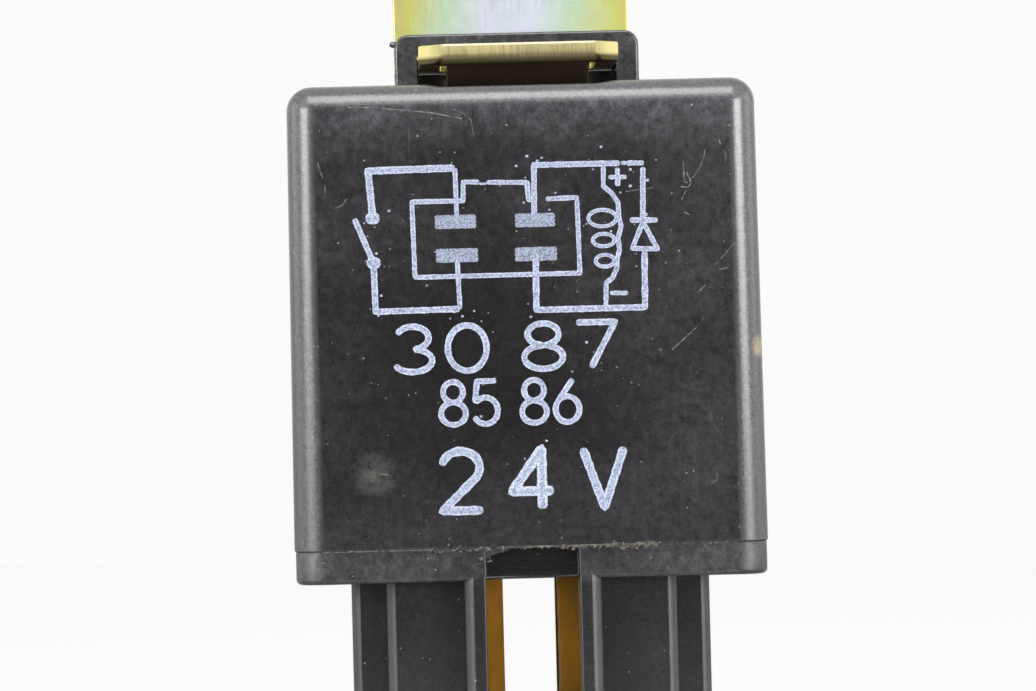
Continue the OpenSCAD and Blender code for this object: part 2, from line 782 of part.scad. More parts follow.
module moving_contact() {
    color("#d4d6d8") opened() translate([0, contact_y, spring_z]) mirror([0, 0, 1])
        contact_rivet(moving_t, spring_t);
}

module fixed_contact() {
    color("#d4d6d8") translate([0, contact_y, pad_top]) contact_rivet(fixed_t, blade_t);
}

module armature_stop() {
    color("#a9894a") translate([stop_x, 0, 0])
        sheet_strip([[post_y, plug_top - stop_foot], [post_y, stop_mid_z], [contact_y, stop_mid_z]],
                    terminal_bend_r, blade_t, stop_w);
}

module stop_slot() {
    half_w = stop_w / 2 + slot_clear;
    half_t = blade_t / 2 + slot_clear;
    block([stop_x - half_w, post_y - half_t, plug_top - stop_foot - slot_clear],
          [stop_x + half_w, post_y + half_t, plug_top + over]);
}

// Suppressor diode across the coil posts

diode_x = coil_post_x + coil_post_w + diode_lead_d / 2 + seat;
diode_z = coil_post_top - diode_drop;

module diode_body() {
    color("#26262a") translate([diode_x, 0, diode_z]) rotate([90, 0, 0])
        cylinder(d = diode_d, h = diode_len, center = true);
}

module diode_leads() {
    lead_end = row_y + blade_t / 2 + lead_overhang;
    color("#c3c6c9") for (row = [-1, 1])
        translate([diode_x, row * (diode_len / 2 + lead_end) / 2, diode_z]) rotate([90, 0, 0])
            cylinder(d = diode_lead_d, h = lead_end - diode_len / 2, center = true);
}

cover();
base();
mounting_bracket();
terminal_contact();
terminal_common();
terminal_coil(-1);  // terminal_coil_plus
terminal_coil(1);  // terminal_coil_minus
yoke();
core();
bobbin();
coil_winding();
coil_leads();
armature();
armature_rivets();
contact_spring();
spring_rivets();
moving_contact();
fixed_contact();
armature_stop();
diode_body();
diode_leads();
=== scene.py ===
import math
import random

import bmesh
import bpy
from mathutils import Matrix, Vector, noise


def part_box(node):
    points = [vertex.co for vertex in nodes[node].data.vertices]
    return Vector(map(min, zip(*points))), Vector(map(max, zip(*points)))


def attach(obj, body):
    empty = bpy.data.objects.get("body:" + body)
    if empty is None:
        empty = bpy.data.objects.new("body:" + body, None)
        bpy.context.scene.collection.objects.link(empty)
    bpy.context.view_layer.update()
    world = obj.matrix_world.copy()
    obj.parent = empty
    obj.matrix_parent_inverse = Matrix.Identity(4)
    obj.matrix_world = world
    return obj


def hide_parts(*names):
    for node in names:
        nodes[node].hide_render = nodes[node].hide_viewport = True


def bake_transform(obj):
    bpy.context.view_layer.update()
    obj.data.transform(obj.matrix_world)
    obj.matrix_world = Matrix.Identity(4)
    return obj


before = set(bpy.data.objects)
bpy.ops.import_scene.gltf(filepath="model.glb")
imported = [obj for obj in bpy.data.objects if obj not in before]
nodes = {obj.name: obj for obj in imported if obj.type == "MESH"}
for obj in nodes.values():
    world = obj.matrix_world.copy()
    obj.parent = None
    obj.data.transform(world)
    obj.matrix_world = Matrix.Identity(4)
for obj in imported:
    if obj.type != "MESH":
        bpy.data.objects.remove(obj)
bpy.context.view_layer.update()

mm = 0.001  # lengths in this script are millimetres, Blender's are metres
weld = 0.0005  # points closer than this are one
near = 0.01  # places closer than this count as level with each other
dice = random.Random(11)
print("frame loaded:", len(nodes), "CAD nodes")


# Small tools

def nodeBox(name):
    low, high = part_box(name)
    return low / mm, high / mm


def hexColor(code):
    parts = [int(code[i:i + 2], 16) / 255 for i in (1, 3, 5)]
    return [c / 12.92 if c <= 0.04045 else ((c + 0.055) / 1.055) ** 2.4 for c in parts] + [1.0]


def arc(cx, cy, rx, ry, start, end, steps):
    turns = [math.radians(start + (end - start) * i / steps) for i in range(steps + 1)]
    return [(cx + rx * math.cos(a), cy + ry * math.sin(a)) for a in turns]


def setInputs(tree, node, inputs):
    for name, value in inputs.items():
        if isinstance(value, bpy.types.Node):  # a node stands for its first output in use
            value = next(s for s in value.outputs if s.enabled)
        if isinstance(value, bpy.types.NodeSocket):
            tree.links.new(value, node.inputs[name])
        else:
            node.inputs[name].default_value = value


def addNode(tree, kind, inputs=None, **settings):
    node = tree.nodes.new("ShaderNode" + kind)
    for name, value in settings.items():
        setattr(node, name, value)
    setInputs(tree, node, inputs or {})
    return node


def startMaterial(name, shader):
    # A material with its shader set, and Object coordinates in millimetres for its patterns
    mat = bpy.data.materials.new(name)
    mat.use_nodes = True
    tree = mat.node_tree
    skin = tree.nodes["Principled BSDF"]
    setInputs(tree, skin, shader)
    place = addNode(tree, "TexCoord").outputs["Object"]
    spot = addNode(tree, "VectorMath", {0: place, "Scale": 1 / mm}, operation="SCALE")
    return mat, tree, skin, spot


def layColors(tree, color, layers):
    # Colours laid over each other by share; a colour mix takes its share at 0 and its colours at 6 and 7
    for share, code in layers:
        color = addNode(tree, "Mix", {0: share, 6: color, 7: hexColor(code)}, data_type="RGBA")
    return color


def twoTone(tree, spot, sizeMm, detail, span, first, second):
    # A noise with features of this size, and a colour that goes from first to second over its span
    drift = addNode(tree, "TexNoise", {"Vector": spot, "Scale": 1 / sizeMm, "Detail": detail})
    share = addNode(tree, "MapRange", {"Value": drift, "From Min": span[0], "From Max": span[1]})
    return drift, layColors(tree, hexColor(first), [(share, second)])


def sharpEdges(bm, degrees):
    limit = math.radians(degrees)
    return [e for e in bm.edges if len(e.link_faces) == 2 and e.calc_face_angle(0) > limit]


def roundEdges(bm, edges, radius, steps):
    bmesh.ops.bevel(bm, geom=edges, offset=radius, offset_type="OFFSET", segments=steps, profile=0.5,
                    affect="EDGES", material=-1, clamp_overlap=True)


def moveNew(bm, geom, push):
    moved = [g for g in geom if isinstance(g, bmesh.types.BMVert)]
    bmesh.ops.translate(bm, vec=push, verts=moved)


def pushOutline(bm, points, push):
    face = bm.faces.new([bm.verts.new(p) for p in points])
    moveNew(bm, bmesh.ops.extrude_face_region(bm, geom=[face])["geom"], push)


def dentBall(verts, pace, shift):
    # Moves a ball's points in or out by up to half its radius
    for v in verts:
        v.co *= 1 + 0.5 * noise.noise(v.co * pace + shift)


def copyNode(name):
    # A CAD node's mesh in millimetres, with its loose triangles merged
    bm = bmesh.new()
    bm.from_mesh(nodes[name].data)
    bmesh.ops.scale(bm, vec=(1 / mm, 1 / mm, 1 / mm), verts=bm.verts)
    bmesh.ops.remove_doubles(bm, verts=bm.verts, dist=weld)
    return bm


def joinMesh(bm, other):
    spare = bpy.data.meshes.new("spare")
    other.to_mesh(spare)
    other.free()
    bm.from_mesh(spare)
    bpy.data.meshes.remove(spare)


def showObject(name, data):
    shown = bpy.data.objects.new(name, data)
    bpy.context.scene.collection.objects.link(shown)
    return shown


def showMesh(mesh, name, material, sharp):
    mesh.shade_smooth()
    mesh.set_sharp_from_angle(angle=math.radians(sharp))
    mesh.materials.clear()
    mesh.materials.append(material)
    piece = showObject(name, mesh)
    evener = piece.modifiers.new("even_shading", "WEIGHTED_NORMAL")
    evener.keep_sharp = True
    return piece


def finishPiece(bm, name, material, sharp=32):
    bmesh.ops.remove_doubles(bm, verts=bm.verts, dist=weld)
    bmesh.ops.recalc_face_normals(bm, faces=bm.faces)
    bmesh.ops.scale(bm, vec=(mm, mm, mm), verts=bm.verts)
    mesh = bpy.data.meshes.new(name)
    bm.to_mesh(mesh)
    bm.free()
    return showMesh(mesh, name, material, sharp)


# Places in the frame that the pieces and their finishes share

coverLow, coverHigh = nodeBox("cover")
baseHigh = nodeBox("base")[1]
bracketLow, bracketHigh = nodeBox("mounting_bracket")
seamZ, frontY = coverLow.z, coverLow.y


# Materials

plasticLook = {
    "black": "#0b0b0c", "warm": "#110f0f", "dustGrey": "#6f6e73", "speckGrey": "#9c9a99",
    "wearAndHighlightGrey": "#868689",
    "grainMm": 0.16, "mottleMm": 0.3, "mottleRough": 0.68, "cloudMm": 5.0, "warmSpan": (0.35, 0.65),
    "smudgeFrom": (0.35, 0.7), "smudgeTo": (0.7, 1.4), "raggedSpan": (0.36, 0.62),
    "hazeMm": 0.6, "hazeStretch": (1.0, 1.0, 0.85), "hazeRough": 0.88, "hazePower": 3.2,
    "speckMm": 0.45, "speckSize": 0.14, "speckRarity": 3.0,
    # what changes with height above the seam: from, to, value below, value above; a name is an earlier row
    "byHeight": {
        "dust": (24.0, 26.7, 0.1, 0.29), "onFlange": (0.0, 0.1, 1.95, 1.0), "onRoof": (27.6, 28.3, 0.0, 1.0),
        # edge grey, wear and painted highlight in one: growing up the cover, less on the flange and on the
        # roof and loop
        "coverWearAndHighlight": (0.0, 24.0, 0.5, 0.74), "lowerWearAndHighlight": (-0.1, 0.0, 0.22, "coverWearAndHighlight"),
        "wearAndHighlightLevel": (28.3, 28.5, "lowerWearAndHighlight", 0.2),
        "coverRough": (0.0, 24.0, 0.33, 0.2), "edgeRough": (-0.1, 0.0, 0.42, "coverRough"),
        "faceRough": (-2.4, -1.6, 0.19, 0.15), "dents": (-2.4, -1.6, 0.04, 0.3),
    },
    "cleanBelow": -2.4, "dustyAbove": -1.6, "plugDust": 0.05, "skinInside": 11.3, "skinOutside": 11.7,
    # where painted shade lies under the bracket's leg, with no dust grey
    "legShadeHalf": 6.22, "legShadeFront": 9.1, "legShadeTop": 30.9,
    "thinDustAt": (-3.4, 0.0, 10.0), "thinDustReach": 4.0, "thinDustFade": 11.0, "thinDustShare": 0.35,
    "flatNormal": 0.9998, "roundNormal": 0.98, "facingDown": -0.3, "marginFrom": 10.12, "marginTo": 10.6,
    "unevenRough": 0.16, "dentDepth": 0.05, "grainBump": 0.18, "grainDepth": 0.02,
    # marks on the cover: place from the foot of its front, reach, colour, strength
    "marks": [((-9.4, 0.0, 4.6), 1.6, "#85827d", 0.42), ((14.1, 0.8, 11.8), 0.8, "#cbb98f", 1.3)],
}


def bodyPlaces(tree, look, spot):
    # Where a point of the moulding lies, and the values that go with its height
    fromSeam = addNode(tree, "VectorMath", {0: spot, 1: (0, frontY, seamZ)}, operation="SUBTRACT")
    _, depth, height = addNode(tree, "SeparateXYZ", {0: fromSeam}).outputs
    span = addNode(tree, "VectorMath", {0: spot}, operation="ABSOLUTE")
    acrossX, acrossY, _ = addNode(tree, "SeparateXYZ", {0: span}).outputs
    # the body is wider than deep: less by that much, a side lies as far out as the front
    sideways = addNode(tree, "Math", {0: acrossX, 1: coverHigh.x - coverHigh.y}, operation="SUBTRACT")
    at = {"fromSeam": fromSeam, "depth": depth, "height": height,
          "acrossX": acrossX, "acrossY": acrossY, "sideways": sideways}
    for what, (start, end, below, above) in look["byHeight"].items():
        at[what] = addNode(tree, "MapRange", {
            "Value": height, "From Min": start, "From Max": end,
            "To Min": at.get(below, below), "To Max": at.get(above, above)})
    return at


def dustOutsidePaintedShade(tree, look, at):
    # The plug end sat in its socket, so it has only a trace of dust. Above it dust is only on the outer
    # skin, thickest on the flange and towards the roof; the deep notch gets none, a painted shade that keeps
    # it dark
    outward = addNode(tree, "Math", {0: at["sideways"], 1: at["acrossY"]}, operation="MAXIMUM")
    skinned = addNode(tree, "MapRange", {
        "Value": outward, "From Min": look["skinInside"], "From Max": look["skinOutside"]})
    # painted shade: what lies below the bracket's leg gets no dust grey, so it stays dark
    shade = addNode(tree, "Math", {0: at["acrossX"], 1: look["legShadeHalf"]}, operation="LESS_THAN")
    behind = addNode(tree, "Math", {0: at["depth"], 1: look["legShadeFront"]}, operation="GREATER_THAN")
    below = addNode(tree, "Math", {0: at["height"], 1: look["legShadeTop"]}, operation="LESS_THAN")
    for side in (behind, below):
        shade = addNode(tree, "Math", {0: shade, 1: side}, operation="MULTIPLY")
    roof = addNode(tree, "Math", {0: at["onRoof"], 1: shade}, operation="SUBTRACT", use_clamp=True)
    dustOutsideShade = addNode(tree, "Math", {0: roof, 1: skinned}, operation="MAXIMUM")
    # less dust grey in the middle of the front, full again away from it
    fromThinSpot = addNode(tree, "VectorMath", {0: at["fromSeam"], 1: look["thinDustAt"]}, operation="DISTANCE")
    thinnedDust = addNode(tree, "MapRange", {
        "Value": fromThinSpot, "From Min": look["thinDustReach"], "From Max": look["thinDustFade"],
        "To Min": look["thinDustShare"]})
    for share in (at["dust"], at["onFlange"], thinnedDust):
        dustOutsideShade = addNode(tree, "Math", {0: dustOutsideShade, 1: share}, operation="MULTIPLY")
    return addNode(tree, "MapRange", {
        "Value": at["height"], "From Min": look["cleanBelow"], "From Max": look["dustyAbove"],
        "To Min": look["plugDust"], "To Max": dustOutsideShade})


def edgeWearAndHighlightMask(tree, look, at):
    # Edge mask: rounded edges, polished by handling and also painted lighter as a highlight
    # Faces lie square to the axes, so the largest part of the normal falls only on rounded edges
    normal = addNode(tree, "TexCoord").outputs["Normal"]
    facing = addNode(tree, "VectorMath", {0: normal}, operation="ABSOLUTE")
    partX, partY, partZ = addNode(tree, "SeparateXYZ", {0: facing}).outputs
    level = addNode(tree, "Math", {0: partX, 1: partY}, operation="MAXIMUM")
    flat = addNode(tree, "Math", {0: level, 1: partZ}, operation="MAXIMUM")
    rounded = addNode(tree, "MapRange", {
        "Value": flat, "From Min": look["flatNormal"], "From Max": look["roundNormal"]})
    # the grey runs on a little over the faces beside the upright edges as painted highlight, and is kept off
    # what faces down
    nearest = addNode(tree, "Math", {0: at["sideways"], 1: at["acrossY"]}, operation="MINIMUM")
    margin = addNode(tree, "MapRange", {
        "Value": nearest, "From Min": look["marginFrom"], "From Max": look["marginTo"]})
    edge = addNode(tree, "Math", {0: rounded, 1: margin}, operation="MAXIMUM")
    tilt = addNode(tree, "SeparateXYZ", {0: normal}).outputs[2]
    above = addNode(tree, "MapRange", {"Value": tilt, "From Min": look["facingDown"], "From Max": 0.0})
    return addNode(tree, "Math", {0: edge, 1: above}, operation="MULTIPLY")


def dustSpecks(tree, look, spot):
    # Small balls round scattered points, of many sizes
    cells = addNode(tree, "TexVoronoi", {"Vector": spot, "Scale": 1 / look["speckMm"]})
    chance = addNode(tree, "SeparateColor", {0: cells.outputs["Color"]})
    rare = addNode(tree, "Math", {0: chance.outputs[0], 1: look["speckRarity"]}, operation="POWER")
    size = addNode(tree, "Math", {0: rare, 1: look["speckSize"]}, operation="MULTIPLY")
    speck = addNode(tree, "Math", {0: cells.outputs["Distance"], 1: size}, operation="LESS_THAN")
    return addNode(tree, "Math", {0: speck, 1: chance.outputs[1]}, operation="MULTIPLY")


def mouldedBlack(name, look):
    # Glass-filled nylon out of a used mould: a dull, slightly mottled black, with dust in its grain and
    # edges that handling polishes a little shinier and greyer than the faces; their grey is also a painted
    # highlight
    mat, tree, skin, spot = startMaterial(name, {"IOR": 1.53})
    at = bodyPlaces(tree, look, spot)
    grain = addNode(tree, "TexNoise", {"Vector": spot, "Scale": 1 / look["grainMm"], "Detail": 3.0})
    mottle = addNode(tree, "TexNoise", {
        "Vector": spot, "Scale": 1 / look["mottleMm"], "Detail": 6.0, "Roughness": look["mottleRough"]})
    cloud, color = twoTone(tree, spot, sizeMm=look["cloudMm"], detail=4.0, span=look["warmSpan"],
                           first=look["black"], second=look["warm"])
    # the dust is mostly a thin haze, drawn out a little downwards, with a few thick grains
    smudge = addNode(tree, "MapRange", {
        "Value": cloud, "From Min": look["smudgeFrom"][0], "From Max": look["smudgeFrom"][1],
        "To Min": look["smudgeTo"][0], "To Max": look["smudgeTo"][1]})
    drawn = addNode(tree, "Mapping", {"Vector": spot, "Scale": look["hazeStretch"]})
    haze = addNode(tree, "TexNoise", {
        "Vector": drawn, "Scale": 1 / look["hazeMm"], "Detail": 8.0, "Roughness": look["hazeRough"]})
    doubled = addNode(tree, "Math", {0: haze, 1: 2.0}, operation="MULTIPLY")
    grit = addNode(tree, "Math", {0: doubled, 1: look["hazePower"]}, operation="POWER")
    for share in (smudge, dustOutsidePaintedShade(tree, look, at)):
        grit = addNode(tree, "Math", {0: grit, 1: share}, operation="MULTIPLY")
    # handled edges, greyed by wear and as a painted highlight: most near the cover's top, far less on the
    # base and loop
    edgeWearAndHighlight = edgeWearAndHighlightMask(tree, look, at)
    wearAndHighlightShare = edgeWearAndHighlight
    for share in (at["wearAndHighlightLevel"], grain):
        wearAndHighlightShare = addNode(tree, "Math", {0: wearAndHighlightShare, 1: share}, operation="MULTIPLY")
    layers = [(grit, look["dustGrey"]), (wearAndHighlightShare, look["wearAndHighlightGrey"]),
              (dustSpecks(tree, look, spot), look["speckGrey"])]
    ragged = addNode(tree, "MapRange", {
        "Value": haze, "From Min": look["raggedSpan"][0], "From Max": look["raggedSpan"][1]})
    for centre, reach, tone, strength in look["marks"]:
        away = addNode(tree, "VectorMath", {0: at["fromSeam"], 1: centre}, operation="DISTANCE")
        soft = addNode(tree, "MapRange", {
            "Value": away, "From Min": reach, "From Max": 0.0, "To Max": strength})
        layers.append((addNode(tree, "Math", {0: soft, 1: ragged}, operation="MULTIPLY"), tone))
    sheen = addNode(tree, "MapRange", {
        "Value": edgeWearAndHighlight, "To Min": at["faceRough"], "To Max": at["edgeRough"]})
    uneven = addNode(tree, "Math", {0: grain, 1: look["unevenRough"], 2: -look["unevenRough"] / 2},
                     operation="MULTIPLY_ADD")
    rough = addNode(tree, "Math", {0: sheen, 1: uneven}, operation="ADD")
    dents = addNode(tree, "Bump", {
        "Strength": at["dents"], "Distance": look["dentDepth"] * mm, "Height": mottle})
    bump = addNode(tree, "Bump", {
        "Strength": look["grainBump"], "Distance": look["grainDepth"] * mm, "Height": grain,
        "Normal": dents})
    setInputs(tree, skin, {
        "Base Color": layColors(tree, color, layers), "Roughness": rough, "Normal": bump})
    return mat


def padPrint(name, thinInk, fullInk):
    # White pad-printing ink, thin and dry: a bluish white that lets the black through in pinholes
    mat, tree, skin, spot = startMaterial(name, {"IOR": 1.48, "Roughness": 0.55})
    _, ink = twoTone(tree, spot, sizeMm=0.11, detail=2.0, span=(0.34, 0.6), first=thinInk, second=fullInk)
    setInputs(tree, skin, {"Base Color": ink})
    return mat


def scuffedBlack():
    # The same nylon where something sharp has dragged over it: torn fibres that scatter white
    mat, tree, skin, spot = startMaterial("scratched_nylon", {"IOR": 1.53, "Roughness": 0.7})
    _, torn = twoTone(tree, spot, sizeMm=0.35, detail=3.0, span=(0.35, 0.65),
                      first="#2c2c2c", second="#7b7a79")
    setInputs(tree, skin, {"Base Color": torn})
    return mat


def seamFlash():
    # Resin squeezed out of the seam and dusted since: a crumbly grey-beige line
    mat, tree, skin, spot = startMaterial("dusty_resin_flash", {"IOR": 1.5, "Roughness": 0.8})
    _, crumbly = twoTone(tree, spot, sizeMm=0.22, detail=4.0, span=(0.38, 0.66),
                         first="#2a2826", second="#6f6a61")
    setInputs(tree, skin, {"Base Color": crumbly})
    return mat


chromateLook = {
    # thin film colours, from the thinnest to the thickest
    "film": ["#c4c6d4", "#b0c4ab", "#bab867", "#b6a978", "#928964", "#c9a28f"],
    "patchMm": 5.0, "drift": 0.35, "rollMm": 0.12, "rollStretch": (1.0, 0.12, 0.12),
    "roughness": 0.35, "unevenRough": 0.2, "shearedRough": 0.2, "relief": 0.2, "reliefDepth": 0.01,
    # ramps: measure, where it starts and ends, value at the end; places count from the middle, back from
    # the leg's end and up from the barb's tip
    "ramps": {
        "edge": ("side", 1.5, 7.7, 0.5), "end": ("back", 18.5, 4.5, 0.72),
        # downward faces run on towards the film's last, rosy colours: a painted reflection of red under the
        # leg
        "under": ("tilt", -0.3, -0.9, 0.3),
        "broken": ("up", 1.9, 1.6, 1.0), "corner": ("side", 4.5, 4.8, 1.0), "deep": ("up", 1.93, 1.7, 1.0),
        "sheared": ("back", 0.9, 0.2, 1.0), "score": ("rolled", 0.42, 0.72, 0.4),
    },
    "cutBack": 1.6, "lipUp": 2.46, "lipBack": 0.14,
    # the cut corners' two colours are painted highlight and painted shade; the lip colour is a painted
    # highlight line
    "tornColor": "#8f8460", "cornerHighlightColor": "#b8ae77", "cornerShadeColor": "#463d22", "scoreColor": "#5c5230",
    "topHighlightColor": "#c4bda4",
}


def yellowChromate(look):
    # Zinc plate with a yellow chromate film: soft metal whose thin film drifts from lilac through
    # pale green to straw, thicker towards the cut edges and the pressed end
    mat, tree, skin, spot = startMaterial("yellow_chromated_zinc", {"Metallic": 0.78})
    tip = (0, bracketLow.y, bracketLow.z)
    fromEnd = addNode(tree, "VectorMath", {0: spot, 1: tip}, operation="SUBTRACT")
    across, back, up = addNode(tree, "SeparateXYZ", {0: fromEnd}).outputs
    long = addNode(tree, "Mapping", {"Vector": spot, "Scale": look["rollStretch"]})
    rolled = addNode(tree, "TexNoise", {"Vector": long, "Scale": 1 / look["rollMm"], "Detail": 2.0})
    normal = addNode(tree, "TexCoord").outputs["Normal"]
    measures = {"side": addNode(tree, "Math", {0: across}, operation="ABSOLUTE"), "back": back, "up": up,
                "tilt": addNode(tree, "SeparateXYZ", {0: normal}).outputs[2], "rolled": rolled}
    at = {}
    for what, (measure, start, end, full) in look["ramps"].items():
        at[what] = addNode(tree, "MapRange", {
            "Value": measures[measure], "From Min": start, "From Max": end, "To Max": full})
    patch = addNode(tree, "TexNoise", {"Vector": spot, "Scale": 1 / look["patchMm"], "Detail": 2.0})
    drift = addNode(tree, "Math", {0: patch, 1: look["drift"], 2: -look["drift"] / 2},
                    operation="MULTIPLY_ADD")
    film = addNode(tree, "Math", {0: at["edge"], 1: at["end"]}, operation="MAXIMUM")
    # the shift on downward faces is a painted reflection, not the film's own colour
    for change in (drift, at["under"]):
        film = addNode(tree, "Math", {0: film, 1: change}, operation="ADD")
    hue = addNode(tree, "ValToRGB", {0: film})
    stops = hue.color_ramp.elements
    while len(stops) < len(look["film"]):
        stops.new(0.5)
    for i, code in enumerate(look["film"]):
        stops[i].position = i / (len(look["film"]) - 1)
        stops[i].color = hexColor(code)
    # where the press broke through, the lower part of the end is rough and brown; the cut corners carry a
    # painted highlight above and painted shade below, the punch scored the end from top to bottom, and a
    # painted highlight line runs along its top edge
    ahead = addNode(tree, "Math", {0: back, 1: look["cutBack"]}, operation="LESS_THAN")
    torn = addNode(tree, "Math", {0: at["broken"], 1: ahead}, operation="MULTIPLY")
    corner = addNode(tree, "Math", {0: at["corner"], 1: ahead}, operation="MULTIPLY")
    shadedCornerBelow = addNode(tree, "Math", {0: corner, 1: at["deep"]}, operation="MULTIPLY")
    scored = addNode(tree, "Math", {0: at["score"], 1: at["sheared"]}, operation="MULTIPLY")
    upper = addNode(tree, "Math", {0: up, 1: look["lipUp"]}, operation="GREATER_THAN")
    foremost = addNode(tree, "Math", {0: back, 1: look["lipBack"]}, operation="LESS_THAN")
    lip = addNode(tree, "Math", {0: upper, 1: foremost}, operation="MULTIPLY")
    tone = layColors(tree, hue, [(torn, look["tornColor"]), (corner, look["cornerHighlightColor"]),
                                 (shadedCornerBelow, look["cornerShadeColor"]), (scored, look["scoreColor"]),
                                 (lip, look["topHighlightColor"])])
    # the end is duller than the rolled faces
    least = look["roughness"] - look["unevenRough"] / 2
    smooth = addNode(tree, "Math", {0: rolled, 1: look["unevenRough"], 2: least}, operation="MULTIPLY_ADD")
    rough = addNode(tree, "Math", {0: at["sheared"], 1: look["shearedRough"], 2: smooth},
                    operation="MULTIPLY_ADD")
    relief = addNode(tree, "MapRange", {"Value": at["sheared"], "To Min": look["relief"]})
    bump = addNode(tree, "Bump", {
        "Strength": relief, "Distance": look["reliefDepth"] * mm, "Height": rolled})
    setInputs(tree, skin, {"Base Color": tone, "Roughness": rough, "Normal": bump})
    return mat


metalGrain = {
    "patchStretch": (1.0, 1.0, 0.4), "patchSpan": (0.36, 0.66), "streakStretch": (1.0, 1.0, 0.1),
    "unevenRough": 0.22, "bump": 0.15, "bumpDepth": 0.01, "shearedFrom": 0.4, "shearedTo": 0.8,
}
metalLooks = {
    "tarnished_brass": {"bright": "#a06d2a", "dull": "#6a5420", "roughness": 0.4, "patchMm": 2.5,
                        "streakMm": 0.15, "cutEdgeAndHighlight": "#e6d79a"},
    "dull_plated_iron": {"bright": "#a9aaab", "dull": "#8a8986", "roughness": 0.42, "patchMm": 3.0,
                         "streakMm": 0.2},
    "tinned_steel": {"bright": "#c4c5c6", "dull": "#a6a6a4", "roughness": 0.35, "patchMm": 1.5,
                     "streakMm": 0.15},
    "rolled_bronze": {"bright": "#c28a54", "dull": "#9c6c40", "roughness": 0.3, "patchMm": 3.0,
                      "streakMm": 0.12},
    "silver_alloy": {"bright": "#d8d6d2", "dull": "#a8a49c", "roughness": 0.3, "patchMm": 1.0,
                     "streakMm": 0.1},
}


def workedMetal(name, look, shared):
    # Rolled or pressed metal: drawn-out streaks in the gloss, and patches of tarnish in the colour,
    # with the sheared sides brighter than the rolled faces where a colour is given for them, as bare cut
    # metal and painted highlight
    mat, tree, skin, spot = startMaterial(name, {"Metallic": 1.0})
    tall = addNode(tree, "Mapping", {"Vector": spot, "Scale": shared["patchStretch"]})
    _, color = twoTone(tree, tall, sizeMm=look["patchMm"], detail=4.0, span=shared["patchSpan"],
                       first=look["bright"], second=look["dull"])
    # the pale colour on sideways faces is bare cut metal and painted highlight in one
    if "cutEdgeAndHighlight" in look:
        facing = addNode(tree, "SeparateXYZ", {0: addNode(tree, "TexCoord").outputs["Normal"]})
        side = addNode(tree, "Math", {0: facing.outputs[0]}, operation="ABSOLUTE")
        sheared = addNode(tree, "MapRange", {
            "Value": side, "From Min": shared["shearedFrom"], "From Max": shared["shearedTo"]})
        color = layColors(tree, color, [(sheared, look["cutEdgeAndHighlight"])])
    long = addNode(tree, "Mapping", {"Vector": spot, "Scale": shared["streakStretch"]})
    streak = addNode(tree, "TexNoise", {"Vector": long, "Scale": 1 / look["streakMm"], "Detail": 2.0})
    least = look["roughness"] - shared["unevenRough"] / 2
    rough = addNode(tree, "Math", {0: streak, 1: shared["unevenRough"], 2: least}, operation="MULTIPLY_ADD")
    bump = addNode(tree, "Bump", {
        "Strength": shared["bump"], "Distance": shared["bumpDepth"] * mm, "Height": streak})
    setInputs(tree, skin, {"Base Color": color, "Roughness": rough, "Normal": bump})
    return mat


def paleNylon():
    # Unfilled moulded nylon: ivory, waxy and a little see-through
    mat, tree, skin, spot = startMaterial("natural_nylon", {
        "IOR": 1.53, "Subsurface Weight": 0.2, "Subsurface Radius": (0.6 * mm, 0.5 * mm, 0.4 * mm)})
    cloud, tone = twoTone(tree, spot, sizeMm=3.0, detail=3.0, span=(0.0, 1.0),
                          first="#d9d1ba", second="#c3b89b")
    rough = addNode(tree, "Math", {0: cloud, 1: 0.2, 2: 0.32}, operation="MULTIPLY_ADD")
    setInputs(tree, skin, {"Base Color": tone, "Roughness": rough})
    return mat


copperLook = {"wireMm": 0.3, "hollowShade": "#6e2c14", "crestHighlight": "#c0673a", "ridgeDepth": 0.12}


def woundCopper(look):
    # Enamelled copper wire, wound in close layers: fine level ridges under a brown-red varnish, painted
    # darker between turns as shade and lighter on their tops as highlight.
    # The wire is drawn at twice its 0.15 mm, so that the turns show
    mat, tree, skin, spot = startMaterial("enamelled_copper", {"Metallic": 1.0, "Coat Weight": 0.6})
    waveLength = 0.314  # of a wave texture at a scale of one
    turns = addNode(tree, "TexWave", {
        "Vector": spot, "Scale": waveLength / look["wireMm"], "Distortion": 0.6, "Detail": 1.0},
        bands_direction="Z").outputs["Fac"]
    # painted shade between the turns, painted highlight on their tops
    tone = layColors(tree, hexColor(look["hollowShade"]), [(turns, look["crestHighlight"])])
    rough = addNode(tree, "Math", {0: turns, 1: -0.15, 2: 0.42}, operation="MULTIPLY_ADD")
    bump = addNode(tree, "Bump", {"Strength": 0.8, "Distance": look["ridgeDepth"] * mm, "Height": turns})
    setInputs(tree, skin, {"Base Color": tone, "Roughness": rough, "Normal": bump})
    return mat


def mouldedEpoxy():
    # Transfer-moulded epoxy: near black, finely pitted, with a soft gloss
    mat, tree, skin, spot = startMaterial("moulded_epoxy", {"IOR": 1.55})
    pits, tone = twoTone(tree, spot, sizeMm=0.2, detail=3.0, span=(0.0, 1.0),
                         first="#17171a", second="#29292c")
    rough = addNode(tree, "Math", {0: pits, 1: 0.2, 2: 0.25}, operation="MULTIPLY_ADD")
    setInputs(tree, skin, {"Base Color": tone, "Roughness": rough})
    return mat


blackNylon = mouldedBlack("moulded_black_nylon", plasticLook)
inkWhite = padPrint("pad_print_ink", "#7c8398", "#bdc6da")
inkMiddle = padPrint("pad_print_ink_middle", "#5f667a", "#a3acc4")
inkThin = padPrint("pad_print_ink_thin", "#4d5261", "#949db2")
scuffed = scuffedBlack()
flash = seamFlash()
chromate = yellowChromate(chromateLook)
metals = [workedMetal(name, look, metalGrain) for name, look in metalLooks.items()]
brass, iron, tinned, bronze, silver = metals
ivory = paleNylon()
copper = woundCopper(copperLook)
epoxy = mouldedEpoxy()
print("materials made:", len(bpy.data.materials))


# Cover

